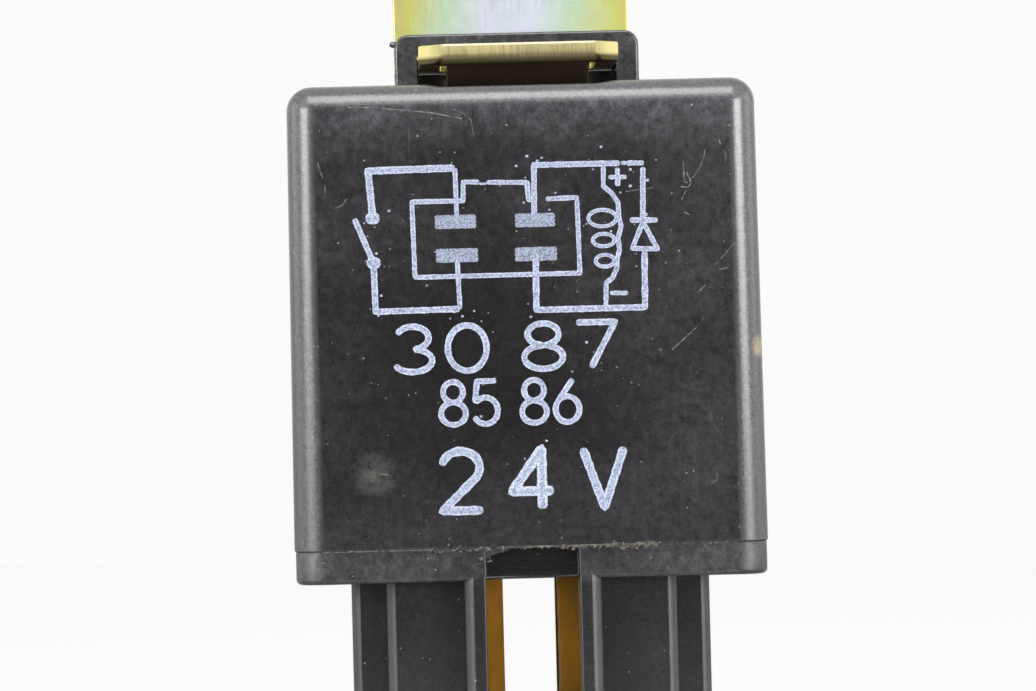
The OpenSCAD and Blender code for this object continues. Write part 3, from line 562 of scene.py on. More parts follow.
coverShape = {  # where a rounding has two values, they are its radius and its steps
    "height": 28.2, "draft": 0.18, "wall": 1.2, "roof": 1.4,
    "edgeRound": 1.5, "innerRound": 0.8, "roundSteps": 10, "rimRound": (0.1, 2),
    "scoopHalf": 4.6, "scoopSlope": 1.1, "scoopDepth": 0.2, "scoopBack": 5.0,
    "loopHalf": 7.625, "loopWall": 1.4, "loopRoof": 0.95, "loopFront": -3.0, "loopBack": 5.0,
    "loopRound": 0.9, "loopSteps": 6, "loopEdge": (0.18, 3), "loopSink": 0.4,
    "ledgeFront": 0.1, "ledgeLength": 1.8, "ledgeHeight": 1.2, "ledgeOverlap": 0.1,
    "nibSize": 0.27, "nibSquash": (1.0, 0.9, 0.75), "nibPace": 6, "nibBack": 0.3, "nibDrop": 0.6,
}
roofZ = seamZ + coverShape["height"]


def openBox(bm, low, high, lean, radius, steps, inward):
    # A box with rounded upright and top edges and no bottom; returns its open rim
    before = set(bm.edges)
    corners = bmesh.ops.create_cube(bm, size=1.0)["verts"]
    size, middle = high - low, (high + low) / 2
    bmesh.ops.scale(bm, vec=size, verts=corners)
    bmesh.ops.translate(bm, vec=middle, verts=corners)
    top = [v for v in corners if v.co.z > middle.z]
    bmesh.ops.scale(bm, vec=(1 - 2 * lean / size.x, 1 - 2 * lean / size.y, 1), verts=top,
                    space=Matrix.Translation((-middle.x, -middle.y, 0)))
    floorFace = next(f for v in corners for f in v.link_faces if f.normal.z < -0.9)
    bmesh.ops.delete(bm, geom=[floorFace], context="FACES_ONLY")
    bent = [e for e in bm.edges if e not in before and any(v in top for v in e.verts)]
    roundEdges(bm, bent, radius, steps)
    if inward:
        bmesh.ops.reverse_faces(bm, faces=[f for f in bm.faces if not before.intersection(f.edges)])
    return [e for e in bm.edges if e.is_boundary and e not in before]


def scoreFaces(bm, faces, place, across):
    edges = dict.fromkeys(e for f in faces for e in f.edges)
    verts = dict.fromkeys(v for f in faces for v in f.verts)
    bmesh.ops.bisect_plane(bm, geom=[*faces, *edges, *verts], dist=weld, plane_co=place, plane_no=across)


def makeCover(shape):
    bm = bmesh.new()
    low, high = Vector((coverLow.x, coverLow.y, seamZ)), Vector((coverHigh.x, coverHigh.y, roofZ))
    draft, steps = shape["draft"], shape["roundSteps"]
    outerRim = openBox(bm, low, high, draft, shape["edgeRound"], steps, False)
    # the shallow dip that runs from the front edge under the loop
    floorHalf, rimHalf = shape["scoopHalf"], shape["scoopHalf"] + shape["scoopSlope"]
    for x in (-rimHalf, -floorHalf, floorHalf, rimHalf):
        upper = [f for f in bm.faces if f.calc_center_median().z > roofZ - shape["edgeRound"]
                 and f.calc_center_median().y < shape["scoopBack"] and f.normal.z > 0.2]
        scoreFaces(bm, upper, (x, 0, 0), (1, 0, 0))
    scoreFaces(bm, [f for f in bm.faces if f.normal.z > 0.9], (0, shape["scoopBack"], 0), (0, 1, 0))
    for v in bm.verts:
        if abs(v.co.x) < floorHalf + near and v.co.y < shape["scoopBack"] - near:
            v.co.z = min(v.co.z, roofZ - shape["scoopDepth"])
    innerLow = low + Vector((shape["wall"], shape["wall"], 0))
    innerHigh = high - Vector((shape["wall"], shape["wall"], shape["roof"]))
    innerRim = openBox(bm, innerLow, innerHigh, draft, shape["innerRound"], steps, True)
    bmesh.ops.bridge_loops(bm, edges=outerRim + innerRim)
    bmesh.ops.recalc_face_normals(bm, faces=bm.faces)
    roundEdges(bm, outerRim, *shape["rimRound"])
    addLoop(bm, shape)
    return finishPiece(bm, "relay_cover", blackNylon)


def addLoop(bm, shape):
    arch = bmesh.new()
    half, top = shape["loopHalf"], coverHigh.z
    inner, ceiling, foot = half - shape["loopWall"], top - shape["loopRoof"], roofZ - shape["loopSink"]
    r, steps = shape["loopRound"], shape["loopSteps"]
    outline = [(half, foot)]
    outline += arc(half - r, top - r, r, r, 0, 90, steps) + arc(r - half, top - r, r, r, 90, 180, steps)
    outline += [(-half, foot), (-inner, foot), (-inner, ceiling), (inner, ceiling), (inner, foot)]
    pushOutline(arch, [(x, shape["loopFront"], z) for x, z in outline],
                (0, shape["loopBack"] - shape["loopFront"], 0))
    bmesh.ops.recalc_face_normals(arch, faces=arch.faces)
    outer = [e for e in sharpEdges(arch, 40)
             if any(abs(v.co.x) > inner + near or v.co.z > ceiling + near for v in e.verts)]
    roundEdges(arch, outer, *shape["loopEdge"])
    # ledge that the bracket's barb catches on
    ledge, ledgeTop = inner + shape["ledgeOverlap"], roofZ + shape["ledgeHeight"]
    corners = [(-ledge, foot), (ledge, foot), (ledge, ledgeTop), (-ledge, ledgeTop)]
    pushOutline(arch, [(x, shape["ledgeFront"], z) for x, z in corners], (0, shape["ledgeLength"], 0))
    # speck of flash left where the mould parts
    nib = bmesh.ops.create_icosphere(arch, subdivisions=2, radius=shape["nibSize"])["verts"]
    bmesh.ops.scale(arch, vec=shape["nibSquash"], verts=nib)
    dentBall(nib, shape["nibPace"], Vector())
    nibPlace = (-half, shape["loopFront"] + shape["nibBack"], top - shape["nibDrop"])
    bmesh.ops.translate(arch, vec=nibPlace, verts=nib)
    bmesh.ops.recalc_face_normals(arch, faces=arch.faces)
    joinMesh(bm, arch)


cover = makeCover(coverShape)
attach(cover, "case")
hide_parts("cover")
print("cover made:", len(cover.data.polygons), "faces")


# Base: flange, stepped shroud and the plug inside the cover

baseShape = {
    "flange": 2.0, "cornerRound": 1.42, "cornerSteps": 8, "underRound": (0.3, 5), "edgeRound": (0.1, 2),
    "slotHalf": 2.85, "notchDepth": 2.0, "lipRound": (0.2, 3), "notchRound": 0.45, "notchOverlap": 0.1,
    # flash across the notch's upper left corner: points from the notch's left side and below the seam
    "web": [(-0.1, 0.02), (-0.1, 0.85), (0.25, 0.51), (0.75, 0.34), (1.4, 0.17), (1.7, 0.02)],
    "webBack": 0.05, "webThick": 0.4, "hair": 0.02, "plugCut": 0.002,
    "wall": 1.3, "wideHalf": 11.1, "wideDepth": 5.4, "narrowHalf": 8.9, "narrowDepth": 8.4,
    "wallRound": (0.6, 5), "sink": 0.6, "proud": 0.004,
}


def makeBase(shape):
    bm = bmesh.new()
    w, d, slot, under = baseHigh.x, baseHigh.y, shape["slotHalf"], seamZ - shape["flange"]
    back = shape["notchDepth"] - d
    r, steps = shape["cornerRound"], shape["cornerSteps"]
    outline = [(-slot, -d), (-slot, back), (slot, back), (slot, -d)]
    outline += arc(w - r, r - d, r, r, -90, 0, steps) + arc(w - r, d - r, r, r, 0, 90, steps)
    outline += arc(r - w, d - r, r, r, 90, 180, steps) + arc(r - w, r - d, r, r, 180, 270, steps)
    pushOutline(bm, [(x, y, under) for x, y in outline], (0, 0, shape["flange"]))
    bmesh.ops.recalc_face_normals(bm, faces=bm.faces)
    low = [e for e in sharpEdges(bm, 60) if all(abs(v.co.z - under) < near for v in e.verts)
           and any(abs(v.co.x) > slot + near for v in e.verts)]
    roundEdges(bm, low, *shape["underRound"])
    lip = [e for e in sharpEdges(bm, 60)
           if all(abs(v.co.z - under) < near and abs(v.co.y - back) < near for v in e.verts)]
    roundEdges(bm, lip, *shape["lipRound"])
    roundEdges(bm, sharpEdges(bm, 40), *shape["edgeRound"])
    # web of flash torn across the notch's upper left corner
    skinY = shape["webBack"] - d
    web = [(x - slot, skinY, seamZ - drop) for x, drop in shape["web"]]
    pushOutline(bm, web, (0, shape["webThick"], 0))
    # rounded upper right corner of the notch
    n, hair, far = shape["notchRound"], shape["hair"], slot + shape["notchOverlap"]
    corner = [(far, -n), (far, -hair)] + arc(slot - n, -n, n, n - hair, 90, 0, steps)
    pushOutline(bm, [(x, skinY, seamZ + rise) for x, rise in corner], (0, shape["notchDepth"], 0))
    addPlug(bm, shape)
    for side in (-1, 1):
        addShroudHalf(bm, shape, side, under + shape["sink"])
    return finishPiece(bm, "relay_base", blackNylon)


def addPlug(bm, shape):
    # The plug inside the cover, with its terminal slots, cut off the CAD base just above the flange
    plug = copyNode("base")
    bmesh.ops.bisect_plane(plug, geom=plug.verts[:] + plug.edges[:] + plug.faces[:], dist=weld,
                           plane_co=(0, 0, seamZ + shape["plugCut"]), plane_no=(0, 0, 1), clear_inner=True)
    bmesh.ops.triangle_fill(plug, edges=[e for e in plug.edges if e.is_boundary], use_beauty=True)
    joinMesh(bm, plug)


def addShroudHalf(bm, shape, side, top):
    # One half of the stepped wall: an outer line drawn up and thickened inwards
    strip = bmesh.new()
    slot, t = shape["slotHalf"], shape["wall"]
    wide, narrow = shape["wideHalf"], shape["narrowHalf"]
    wideY, narrowY = shape["wideDepth"], shape["narrowDepth"]
    front = -baseHigh.y - shape["proud"]  # flush with the flange, a hair in front of it
    line = [(slot + t, front), (slot + t, -narrowY), (narrow, -narrowY), (narrow, -wideY), (wide, -wideY),
            (wide, wideY), (narrow, wideY), (narrow, narrowY), (slot, narrowY)]
    points = [strip.verts.new((side * x, y, 0)) for x, y in line]
    edges = [strip.edges.new(pair) for pair in zip(points, points[1:])]
    moveNew(strip, bmesh.ops.extrude_edge_only(strip, edges=edges)["geom"], (0, 0, top))
    bmesh.ops.recalc_face_normals(strip, faces=strip.faces)
    if strip.faces[:][0].normal.x * side < 0:  # the first face is the fin's outer side
        bmesh.ops.reverse_faces(strip, faces=strip.faces)
    bmesh.ops.solidify(strip, geom=strip.faces[:], thickness=t)
    bmesh.ops.recalc_face_normals(strip, faces=strip.faces)
    upright = [e for e in sharpEdges(strip, 40) if abs(e.verts[0].co.z - e.verts[1].co.z) > 1]
    outside = [e for e in upright if abs(e.verts[0].co.x) > slot + near]  # the slot's own edges stay crisp
    roundEdges(strip, [e for e in outside if e.is_convex], *shape["wallRound"])
    roundEdges(strip, [e for e in sharpEdges(strip, 40) if e.is_convex], *shape["edgeRound"])
    joinMesh(bm, strip)


base = makeBase(baseShape)
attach(base, "case")
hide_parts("base")
print("base made:", len(base.data.polygons), "faces")


# Bracket

bracketShape = {
    "sheet": 1.2, "legUnder": 46.5, "legHalf": 6.125, "legEnd": -9.5, "chamfer": 1.5, "shoulder": 5.1,
    "bend": 1.3, "bendSteps": 12, "tabRound": 3.0, "tabSteps": 10,
    "holeRound": 3.25, "holeZ": 60.7, "holeSteps": 48,
    "barbHalf": 4.4, "barbSlot": 0.4, "barbRoot": -7.0, "barbEnd": 0.0, "barbDrop": 1.4,
    "rolledEdge": (0.8, 5), "edgeRound": (0.12, 2),
}


def makeBracket(shape):
    # The sheet's lower and rear skin, then its thickness
    bm = bmesh.new()
    half, leg, cut = bracketHigh.x, shape["legHalf"], shape["chamfer"]
    legEnd, legUnder = shape["legEnd"], shape["legUnder"]
    outer = shape["bend"] + shape["sheet"]
    turnY, turnZ = bracketHigh.y - outer, legUnder + outer
    outline = [(leg - cut, legEnd), (leg, legEnd + cut), (leg, shape["shoulder"]),
               (half, shape["shoulder"]), (half, turnY)]
    outline += [(-x, y) for x, y in reversed(outline)]
    barb, window = shape["barbHalf"], shape["barbHalf"] + shape["barbSlot"]
    root, far = shape["barbRoot"], shape["barbEnd"] + shape["barbSlot"]
    gap = [(-window, root), (-barb, root), (barb, root), (window, root), (window, far), (-window, far)]
    rings = []
    for points in (outline, gap):
        verts = [bm.verts.new((x, y, legUnder)) for x, y in points]
        rings.append([bm.edges.new(pair) for pair in zip(verts, verts[1:] + verts[:1])])
    bmesh.ops.triangle_fill(bm, edges=rings[0] + rings[1], use_beauty=True)
    hung = bmesh.ops.extrude_edge_only(bm, edges=[rings[1][1]])["geom"]
    moveNew(bm, hung, (0, shape["barbEnd"] - root, -shape["barbDrop"]))
    rear = rings[0][4]
    bent = bmesh.ops.spin(bm, geom=[rear, *rear.verts], cent=(0, turnY, turnZ), axis=(1, 0, 0),
                          angle=math.radians(90), steps=shape["bendSteps"])["geom_last"]
    left, right = sorted((g for g in bent if isinstance(g, bmesh.types.BMVert)), key=lambda v: v.co.x)
    y, top, r, steps = bracketHigh.y, bracketHigh.z, shape["tabRound"], shape["tabSteps"]
    crown = arc(half - r, top - r, r, r, 0, 90, steps) + arc(r - half, top - r, r, r, 90, 180, steps)
    rim = [right] + [bm.verts.new((x, y, up)) for x, up in crown] + [left]
    rimEdges = [bm.edges.new(pair) for pair in zip(rim, rim[1:])]
    rimEdges.append(next(e for e in left.link_edges if e.other_vert(left) is right))
    upright = Matrix.Translation((0, y, shape["holeZ"])) @ Matrix.Rotation(math.pi / 2, 4, "X")
    hole = bmesh.ops.create_circle(bm, segments=shape["holeSteps"], radius=shape["holeRound"],
                                   matrix=upright)
    holeEdges = list(dict.fromkeys(e for v in hole["verts"] for e in v.link_edges))
    bmesh.ops.triangle_fill(bm, edges=rimEdges + holeEdges, use_beauty=True)
    bmesh.ops.remove_doubles(bm, verts=bm.verts, dist=weld)
    bmesh.ops.recalc_face_normals(bm, faces=bm.faces)
    if next(f for f in bm.faces if abs(f.normal.z) > 0.99).normal.z > 0:
        bmesh.ops.reverse_faces(bm, faces=bm.faces)
    bmesh.ops.solidify(bm, geom=bm.faces[:], thickness=shape["sheet"])
    bmesh.ops.recalc_face_normals(bm, faces=bm.faces)
    bmesh.ops.dissolve_limit(bm, angle_limit=0.01, verts=bm.verts, edges=bm.edges)
    rolled = [e for e in sharpEdges(bm, 50)
              if all(abs(v.co.z - legUnder) < near and v.co.y < legEnd + near for v in e.verts)]
    roundEdges(bm, rolled, *shape["rolledEdge"])
    roundEdges(bm, sharpEdges(bm, 50), *shape["edgeRound"])
    return finishPiece(bm, "mounting_bracket_sheet", chromate)


bracket = makeBracket(bracketShape)
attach(bracket, "case")
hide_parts("mounting_bracket")
print("bracket made:", len(bracket.data.polygons), "faces")


# Print, scratches and seam flash: drawn lines that lie on the cover's front

printShape = {
    "line": 0.33, "wire": 0.43, "step": 0.06, "uneven": 0.16, "flatness": 0.1,
    "coreShare": 0.6, "coreFlatness": 0.28, "barWidth": 0.36, "barPass": 0.26, "barFlatness": 0.11,
    "blob": 0.42, "specks": 70, "speckSpread": (0.55, 0.45), "speckSize": (0.06, 0.18),
}
# how fast a line's width varies, how far lines of another width vary otherwise, how blunt the ends are
penShape = {"waves": 2.3, "shift": 9, "tip": 0.4}
frontLean = coverShape["draft"] / coverShape["height"]


def penPoints(points, step, closed):
    line = [Vector((p[0], 0, p[1])) for p in points]
    if closed:
        line.append(line[0])
    out = []
    for a, b in zip(line, line[1:]):
        count = max(1, round((b - a).length / step))
        out += [a.lerp(b, i / count) for i in range(count)]
    return out if closed else out + [line[-1]]


def drawLines(name, strokes, material, flatness, step, uneven, lean=frontLean):
    # Each stroke is (points, width), with True after them where it closes: a tube along its points in
    # X and height above the seam, pressed flat on the cover's front
    curve = bpy.data.curves.new(name, "CURVE")
    curve.dimensions = "3D"
    curve.bevel_depth = 1.0
    curve.bevel_resolution = 1
    curve.use_fill_caps = True
    for points, width, *ring in strokes:
        closed = any(ring)
        path = penPoints(points, step, closed)
        spline = curve.splines.new("POLY")
        spline.points.add(len(path) - 1)
        spline.use_cyclic_u = closed
        half, last = width / 2, len(path) - 1
        for i, p in enumerate(path):
            spline.points[i].co = (*p, 1)
            reach = min(1.0, (min(i, last - i) + penShape["tip"]) * step / half)
            roundEnd = 1.0 if closed else math.sqrt(reach * (2 - reach))
            sway = noise.noise(p * penShape["waves"] + Vector((width * penShape["shift"], 0, 0)))
            spline.points[i].radius = half * roundEnd * (1 + uneven * sway)
    holder = bpy.data.objects.new(name, curve)
    mesh = bpy.data.meshes.new_from_object(holder)
    bpy.data.objects.remove(holder)
    mesh.transform(Matrix(((1, 0, 0, 0), (0, flatness, lean, frontY), (0, 0, 1, seamZ), (0, 0, 0, 1))))
    mesh.transform(Matrix.Scale(mm, 4))
    piece = showMesh(mesh, name, material, 60)
    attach(piece, "case")


def circuitStrokes(shape):
    line, wire, blob = shape["line"], shape["wire"], shape["blob"]
    strokes = [
        # switch on the left
        ([(-9.15, 20.3), (-9.35, 22.97), (-4.1, 23.03)], 0.5),
        ([(-4.1, 23.03), (-4.05, 19.8)], line), ([(-4.1, 17.7), (-4.0, 14.5)], line),
        ([(-10.25, 20.1), (-9.15, 17.4)], 0.4), ([(-9.15, 17.4), (-9.1, 14.45), (-4.0, 14.5)], wire),
        # outline of the plug with its key
        ([(0.62, 20.97), (0.3, 21.0), (0.25, 22.05), (-2.2, 22.12)], line),
        ([(-2.2, 22.02), (-2.65, 22.04)], 0.16),
        ([(-2.65, 22.14), (-3.62, 22.17), (-3.65, 21.03), (-6.75, 21.04),
          (-6.67, 16.47), (3.31, 16.49), (3.24, 21.07), (1.35, 21.02)], line),
        # coil side
        ([(5.9, 23.08), (0.69, 23.09), (0.62, 19.8)], 0.4),
        ([(5.95, 23.1), (6.35, 23.06)], 0.26), ([(6.3, 23.05), (6.75, 23.1)], 0.36),
        ([(6.65, 23.08), (7.35, 23.05)], 0.33),
        ([(0.66, 17.7), (0.62, 14.32), (7.2, 14.33), (7.25, 17.75)], wire),
        ([(4.88, 22.9), (4.86, 21.7), (5.36, 21.28), (5.72, 20.7), (5.75, 19.9), (5.87, 19.25), (5.68, 18.6),
          (5.74, 17.85), (5.58, 17.25), (5.54, 16.7), (5.28, 16.15), (4.88, 15.85), (4.83, 14.4)], line),
        ([(5.18, 22.24), (6.28, 22.24)], 0.3), ([(5.73, 21.7), (5.73, 22.8)], 0.3),
        ([(5.1, 15.24), (6.2, 15.21)], 0.3),
        # diode
        ([(7.28, 22.8), (7.2, 19.6)], 0.38), ([(6.41, 19.62), (8.1, 19.58)], 0.38),
        ([(7.2, 19.5), (6.52, 17.9), (8.04, 17.84)], 0.34, True),
    ]
    for x, z, rx, ry in ((4.75, 19.78, 0.85, 0.5), (4.8, 18.45, 0.66, 0.38), (4.85, 17.2, 0.56, 0.36)):
        strokes.append((arc(x, z, rx, ry, 0, 345, 22), 0.27, True))
    for x, z in ((-9.15, 20.1), (-9.15, 17.4)):
        strokes.append(([(x - blob, z), (x + blob, z)], 2 * blob))
    return strokes


def bladeBars(shape):
    bars = []
    for x, z, long in ((-4.15, 19.77, 2.5), (-4.1, 17.74, 2.55), (0.67, 19.76, 2.42), (0.68, 17.71, 2.54)):
        for dz in (-shape["barPass"], 0.0, shape["barPass"]):  # laid down in three passes
            bars.append(([(x - long / 2, z + dz), (x + long / 2, z + dz)], shape["barWidth"]))
    return bars


digits = {  # single strokes in a box one wide and one high, and whether they close
    "0": [(arc(0.5, 0.5, 0.5, 0.5, 90, 435, 28), True)],
    "2": [(arc(0.48, 0.72, 0.46, 0.28, 170, -35, 14) + [(0.02, 0.0), (1.0, 0.0)], False)],
    "3": [(arc(0.46, 0.75, 0.42, 0.25, 160, -80, 12) + arc(0.46, 0.25, 0.5, 0.25, 80, -160, 14), False)],
    "4": [([(0.72, 0.0), (0.72, 1.0), (0.0, 0.3), (1.0, 0.3)], False)],
    "5": [([(0.92, 1.0), (0.14, 1.0), (0.06, 0.56)] + arc(0.46, 0.31, 0.5, 0.31, 130, -155, 16), False)],
    "6": [([(0.74, 1.0), (0.2, 0.55)] + arc(0.5, 0.3, 0.48, 0.3, 140, 490, 26), False)],
    "7": [([(0.0, 1.0), (1.0, 1.0), (0.36, 0.0)], False)],
    "8": [(arc(0.5, 0.76, 0.4, 0.24, -90, 255, 22), True), (arc(0.5, 0.26, 0.5, 0.26, 90, 435, 24), True)],
    "V": [([(0.0, 1.0), (0.5, 0.0), (1.0, 1.0)], False)],
}
numberRows = [  # marking, left end, lower edge, digit width, digit height, gap between digits, line width
    ("30 87", -8.0, 10.75, 2.35, 2.75, 0.85, 0.44),
    ("85 86", -5.3, 7.5, 1.5, 2.6, 0.5, 0.4),
    ("24V", -5.4, 2.3, 2.5, 3.6, 1.8, 0.6),
]
blankShare = 0.6  # width of a blank, as a share of a digit's


def numberStrokes(rows):
    strokes = []
    for marking, left, low, wide, high, gap, line in rows:
        x = left
        for sign in marking:
            for points, closed in digits.get(sign, []):
                strokes.append(([(x + wide * px, low + high * py) for px, py in points], line, closed))
            x += wide + gap if sign != " " else wide * blankShare
    return strokes


def inkSpecks(strokes, shape):
    # stray dots thrown beside the lines
    specks = []
    for _ in range(shape["specks"]):
        points = dice.choice(strokes)[0]
        x, z = dice.choice(points)
        x, z = [c + dice.gauss(0, spread) for c, spread in zip((x, z), shape["speckSpread"])]
        size = dice.uniform(*shape["speckSize"])
        specks.append(([(x, z), (x + size, z)], size))
    return specks


inkLines = circuitStrokes(printShape) + numberStrokes(numberRows)
inkLines += inkSpecks(inkLines, printShape)
# a pad squeezes the ink outwards, so each line is thinner along its middle
inkMiddles = [(points, width * printShape["coreShare"], *ring) for points, width, *ring in inkLines]
for name, strokes, ink, flatness in (
        ("front_print", inkLines, inkWhite, printShape["flatness"]),
        ("front_print_middles", inkMiddles, inkMiddle, printShape["coreFlatness"]),
        ("front_print_bars", bladeBars(printShape), inkThin, printShape["barFlatness"])):
    drawLines(name, strokes, ink, flatness, printShape["step"], printShape["uneven"])

scratchShape = {"flatness": 0.3, "step": 0.05, "uneven": 0.9}
scratchLines = [
    ([(-10.5, 26.85), (-9.0, 26.8), (-7.3, 26.62), (-5.4, 26.4), (-3.6, 26.0)], 0.055),
    ([(-4.1, 26.6), (-3.5, 26.3), (-3.3, 26.15)], 0.045),
    ([(-3.52, 26.4), (-3.05, 25.9), (-2.89, 24.9)], 0.03),
    ([(-6.81, 25.5), (-6.83, 24.6), (-6.85, 23.8)], 0.03), ([(-2.3, 26.8), (-2.33, 26.5)], 0.05),
    ([(-1.33, 26.75), (-1.36, 26.45)], 0.05), ([(-0.79, 26.85), (-0.75, 26.5)], 0.05),
    # the hook and the nicks beside it, upper right
    ([(9.74, 23.13), (9.75, 22.58), (9.77, 21.95)] + arc(9.9, 21.93, 0.13, 0.13, 180, 300, 6), 0.06),
    ([(9.92, 22.45), (10.02, 22.17), (10.12, 22.05)] + arc(9.83, 21.82, 0.31, 0.3, 20, -90, 8)
     + [(9.55, 21.58)], 0.065),
    ([(11.06, 23.75), (10.97, 23.2), (10.6, 22.5), (10.26, 22.06)], 0.045),
    ([(9.87, 21.32), (9.69, 21.03), (9.57, 20.77)], 0.05), ([(9.74, 20.02), (10.03, 19.86)], 0.07),
    ([(11.93, 24.37), (12.02, 24.08)], 0.06), ([(12.23, 23.66), (12.33, 23.41), (12.29, 22.96)], 0.05),
    ([(-11.4, 20.75), (-10.95, 20.95), (-10.7, 21.3)], 0.07),
    ([(-12.4, 23.6), (-12.1, 22.6)], 0.04), ([(-11.95, 22.2), (-12.0, 21.7)], 0.05),
    ([(11.5, 16.8), (12.1, 17.4), (12.7, 18.1)], 0.045), ([(11.7, 16.5), (12.3, 16.6)], 0.06),
    ([(11.0, 3.65), (11.25, 3.75), (11.33, 3.95), (11.25, 4.2)], 0.07),
    ([(8.75, 11.7), (9.5, 12.35), (10.3, 13.05)], 0.045), ([(10.5, 15.2), (10.9, 15.6)], 0.05),
    ([(-9.2, 4.65), (-8.6, 4.58)], 0.08), ([(6.2, 21.35), (7.9, 21.55)], 0.04),
]
drawLines("front_scratches", scratchLines, scuffed, **scratchShape)

flashShape = {
    "flatness": 0.6, "step": 0.05, "uneven": 0.7,
    # lines: left end, step, how many steps, height, sway, pace of the sway, its row, width
    "lines": [(-12.9, 0.4, 18, -0.02, 0.03, 0.7, 0, 0.075), (-1.6, 0.25, 38, 0.02, 0.1, 0.9, 3, 0.12)],
    # crumbs: from X, to X, height on the front, spread, how many, smallest, largest
    "crumbs": [(-6.2, -1.7, -0.06, 0.09, 44, 0.04, 0.13), (-1.8, 1.3, 0.0, 0.03, 18, 0.05, 0.1),
               (1.3, 4.8, -0.06, 0.06, 46, 0.05, 0.13), (4.8, 7.7, -0.02, 0.1, 58, 0.05, 0.2),
               (7.7, 12.6, 0.0, 0.03, 16, 0.04, 0.09), (-3.2, -2.4, -0.62, 0.16, 10, 0.04, 0.1)],
    "crumbLong": (0.8, 1.8), "crumbHigh": (0.5, 0.9), "crumbTurn": 0.6, "crumbPace": 14,
}


def makeCrumbs(shape):
    # Crumbs of resin along the seam: dented little balls, squeezed against the front
    bm = bmesh.new()
    for left, right, height, spread, count, small, large in shape["crumbs"]:
        for _ in range(count):
            ball = bmesh.ops.create_icosphere(bm, subdivisions=1, radius=dice.uniform(small, large))["verts"]
            place = Vector((dice.uniform(left, right), frontY, seamZ + dice.gauss(height, spread)))
            long, high = [dice.uniform(*shape[span]) for span in ("crumbLong", "crumbHigh")]
            bmesh.ops.scale(bm, vec=(long, shape["flatness"], high), verts=ball)
            turn = dice.uniform(-shape["crumbTurn"], shape["crumbTurn"])
            bmesh.ops.rotate(bm, matrix=Matrix.Rotation(turn, 3, "Y"), verts=ball)
            dentBall(ball, shape["crumbPace"], place)
            bmesh.ops.translate(bm, vec=place, verts=ball)
    return finishPiece(bm, "seam_crumbs", flash, 60)


flashLines = []
for left, step, count, height, sway, pace, row, width in flashShape["lines"]:
    lie = [height + sway * noise.noise(Vector((i * pace, row, 0))) for i in range(count)]
    flashLines.append(([(left + step * i, z) for i, z in enumerate(lie)], width))
drawLines("seam_flash", flashLines, flash, flashShape["flatness"], flashShape["step"], flashShape["uneven"],
          lean=0.0)
crumbs = makeCrumbs(flashShape)
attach(crumbs, "case")
print("front drawn:", len(inkLines), "ink lines,", len(scratchLines), "scratches")


# Inner pieces keep their CAD shape, with softened edges on the pressed brass

terminals = ["terminal_contact", "terminal_common", "terminal_coil_plus", "terminal_coil_minus"]
finishes = {
    "armature_stop": brass, "yoke": iron, "core": iron, "armature": iron, "bobbin": ivory,
    "coil_winding": copper, "coil_leads": copper, "armature_rivets": tinned, "spring_rivets": tinned,
    "moving_contact": silver, "fixed_contact": silver, "diode_body": epoxy, "diode_leads": tinned,
    **dict.fromkeys(terminals, brass),
}
easedEdge = {"width": 0.08, "steps": 2, "degrees": 40, "merge": 0.002}
for name, material in finishes.items():
    nodes[name].data.materials.clear()
    nodes[name].data.materials.append(material)
for name in terminals:
    joined = nodes[name].modifiers.new("joined", "WELD")
    joined.merge_threshold = easedEdge["merge"] * mm
    eased = nodes[name].modifiers.new("eased_edges", "BEVEL")
    eased.width = easedEdge["width"] * mm
    eased.segments = easedEdge["steps"]
    eased.limit_method = "ANGLE"
    eased.angle_limit = math.radians(easedEdge["degrees"])

spring = finishPiece(copyNode("contact_spring"), "contact_spring_leaf", bronze)
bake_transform(spring)
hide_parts("contact_spring")
print("inner pieces finished:", len(finishes) + 1)


# Floor, light and camera

stageShape = {
    "half": 700.0, "front": -130.0, "backLeft": 718.0, "backRight": -63.0,
    "paper": "#f3f3f2", "palePaper": "#f7f7f6", "cloudMm": 40.0, "white": 1.03, "glow": 0.86,
}


def makeFloor(shape):
    bm = bmesh.new()
    corners = [(-shape["half"], shape["front"]), (shape["half"], shape["front"]),
               (shape["half"], shape["backRight"]), (-shape["half"], shape["backLeft"])]
    bm.faces.new([bm.verts.new((x, y, 0)) for x, y in corners])
    mat, tree, skin, spot = startMaterial("matt_white_paper", {"Roughness": 0.9, "IOR": 1.45})
    _, tone = twoTone(tree, spot, sizeMm=shape["cloudMm"], detail=3.0, span=(0.0, 1.0),
                      first=shape["paper"], second=shape["palePaper"])
    setInputs(tree, skin, {"Base Color": tone})
    # the camera sees the sheet near white, with the shadow left in it
    glow = addNode(tree, "Emission", {"Color": hexColor("#ffffff"), "Strength": shape["white"]})
    rays = addNode(tree, "LightPath")
    share = addNode(tree, "Math", {0: rays.outputs["Is Camera Ray"], 1: shape["glow"]}, operation="MULTIPLY")
    both = addNode(tree, "MixShader", {0: share, 1: skin, 2: glow})
    setInputs(tree, tree.nodes["Material Output"], {"Surface": both})
    return finishPiece(bm, "floor", mat)


makeFloor(stageShape)

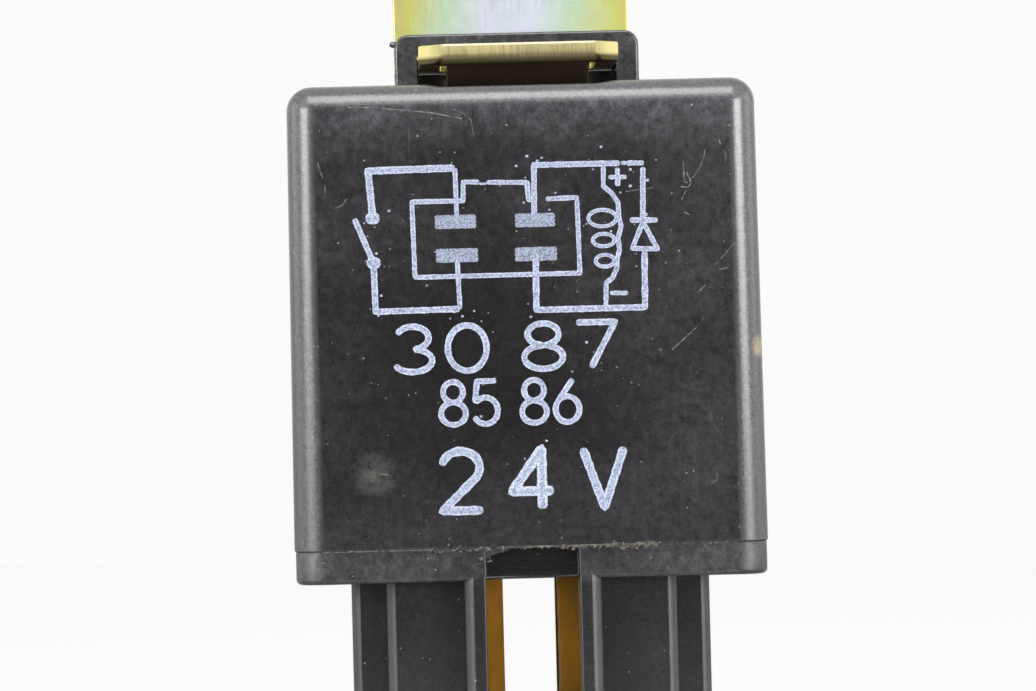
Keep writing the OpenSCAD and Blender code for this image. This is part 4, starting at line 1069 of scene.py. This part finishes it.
lampAim = Vector((0, 0, 32.0))
lampShape = [  # name, azimuth from the front, elevation, distance, width, height, watts
    ("left_strip", -33.0, 8.0, 620.0, 340.0, 160.0, 2.2),
    ("right_strip", 32.0, 4.0, 620.0, 340.0, 170.0, 2.5),
    ("top_softbox", 0.0, 56.0, 620.0, 270.0, 350.0, 2.25),
    ("left_side", -88.0, 12.0, 620.0, 332.0, 451.0, 0.9),
    ("right_side", 88.0, 12.0, 620.0, 332.0, 451.0, 0.9),
]
for name, azimuth, elevation, distance, width, height, watts in lampShape:
    a, e = math.radians(azimuth), math.radians(elevation)
    away = Vector((math.sin(a) * math.cos(e), -math.cos(a) * math.cos(e), math.sin(e)))
    lamp = bpy.data.lights.new(name, "AREA")
    lamp.shape, lamp.size, lamp.size_y, lamp.energy = "RECTANGLE", width * mm, height * mm, watts
    holder = showObject(name, lamp)
    holder.location = (lampAim + away * distance) * mm
    holder.rotation_euler = away.to_track_quat("Z", "Y").to_euler()
    holder.visible_camera = False

# A white tent with a dimmer opening where the camera stands
worldLook = {"backdrop": "#fafafa", "fill": "#ffffff", "fillStrength": 0.08, "opening": 0.16,
             "openingCore": -0.97, "openingRim": -0.72}
world = bpy.data.worlds.new("white_tent")
bpy.context.scene.world = world
world.use_nodes = True
tree = world.node_tree
backdrop, fill = hexColor(worldLook["backdrop"]), hexColor(worldLook["fill"])
toward = addNode(tree, "SeparateXYZ", {0: addNode(tree, "TexCoord").outputs["Generated"]})
tent = addNode(tree, "MapRange", {
    "Value": toward.outputs[1], "From Min": worldLook["openingCore"], "From Max": worldLook["openingRim"],
    "To Min": worldLook["opening"]})
rays = addNode(tree, "LightPath")
seen = addNode(tree, "Math", {0: rays.outputs["Is Camera Ray"], 1: rays.outputs["Is Transmission Ray"]},
               operation="MAXIMUM")
soft = addNode(tree, "Background", {"Color": fill, "Strength": worldLook["fillStrength"]})
mirrored = addNode(tree, "Background", {"Color": backdrop, "Strength": tent})
white = addNode(tree, "Background", {"Color": backdrop, "Strength": 1.0})
unseen = addNode(tree, "MixShader", {0: rays.outputs["Is Glossy Ray"], 1: soft, 2: mirrored})
either = addNode(tree, "MixShader", {0: seen, 1: unseen, 2: white})
setInputs(tree, tree.nodes["World Output"], {"Surface": either})

cameraPlace = {
    "aim": (-0.55, -12.0, 29.2), "distance": 280.0, "azimuth": -1.2, "roll": 1.44,
    "lens": 160.93, "sensor": 36.0, "clip": (10.0, 10000.0),
}
camera = showObject("camera", bpy.data.cameras.new("camera"))
bpy.context.scene.camera = camera
turn = math.radians(cameraPlace["azimuth"])
back = Vector((math.sin(turn), -math.cos(turn), 0)) * cameraPlace["distance"]
camera.location = (Vector(cameraPlace["aim"]) + back) * mm
camera.rotation_euler = (math.radians(90), math.radians(cameraPlace["roll"]), turn)
camera.data.lens, camera.data.sensor_width = cameraPlace["lens"], cameraPlace["sensor"]
camera.data.clip_start, camera.data.clip_end = [c * mm for c in cameraPlace["clip"]]
bpy.context.scene.view_settings.view_transform = "Standard"
print("stage, lamps and camera set")
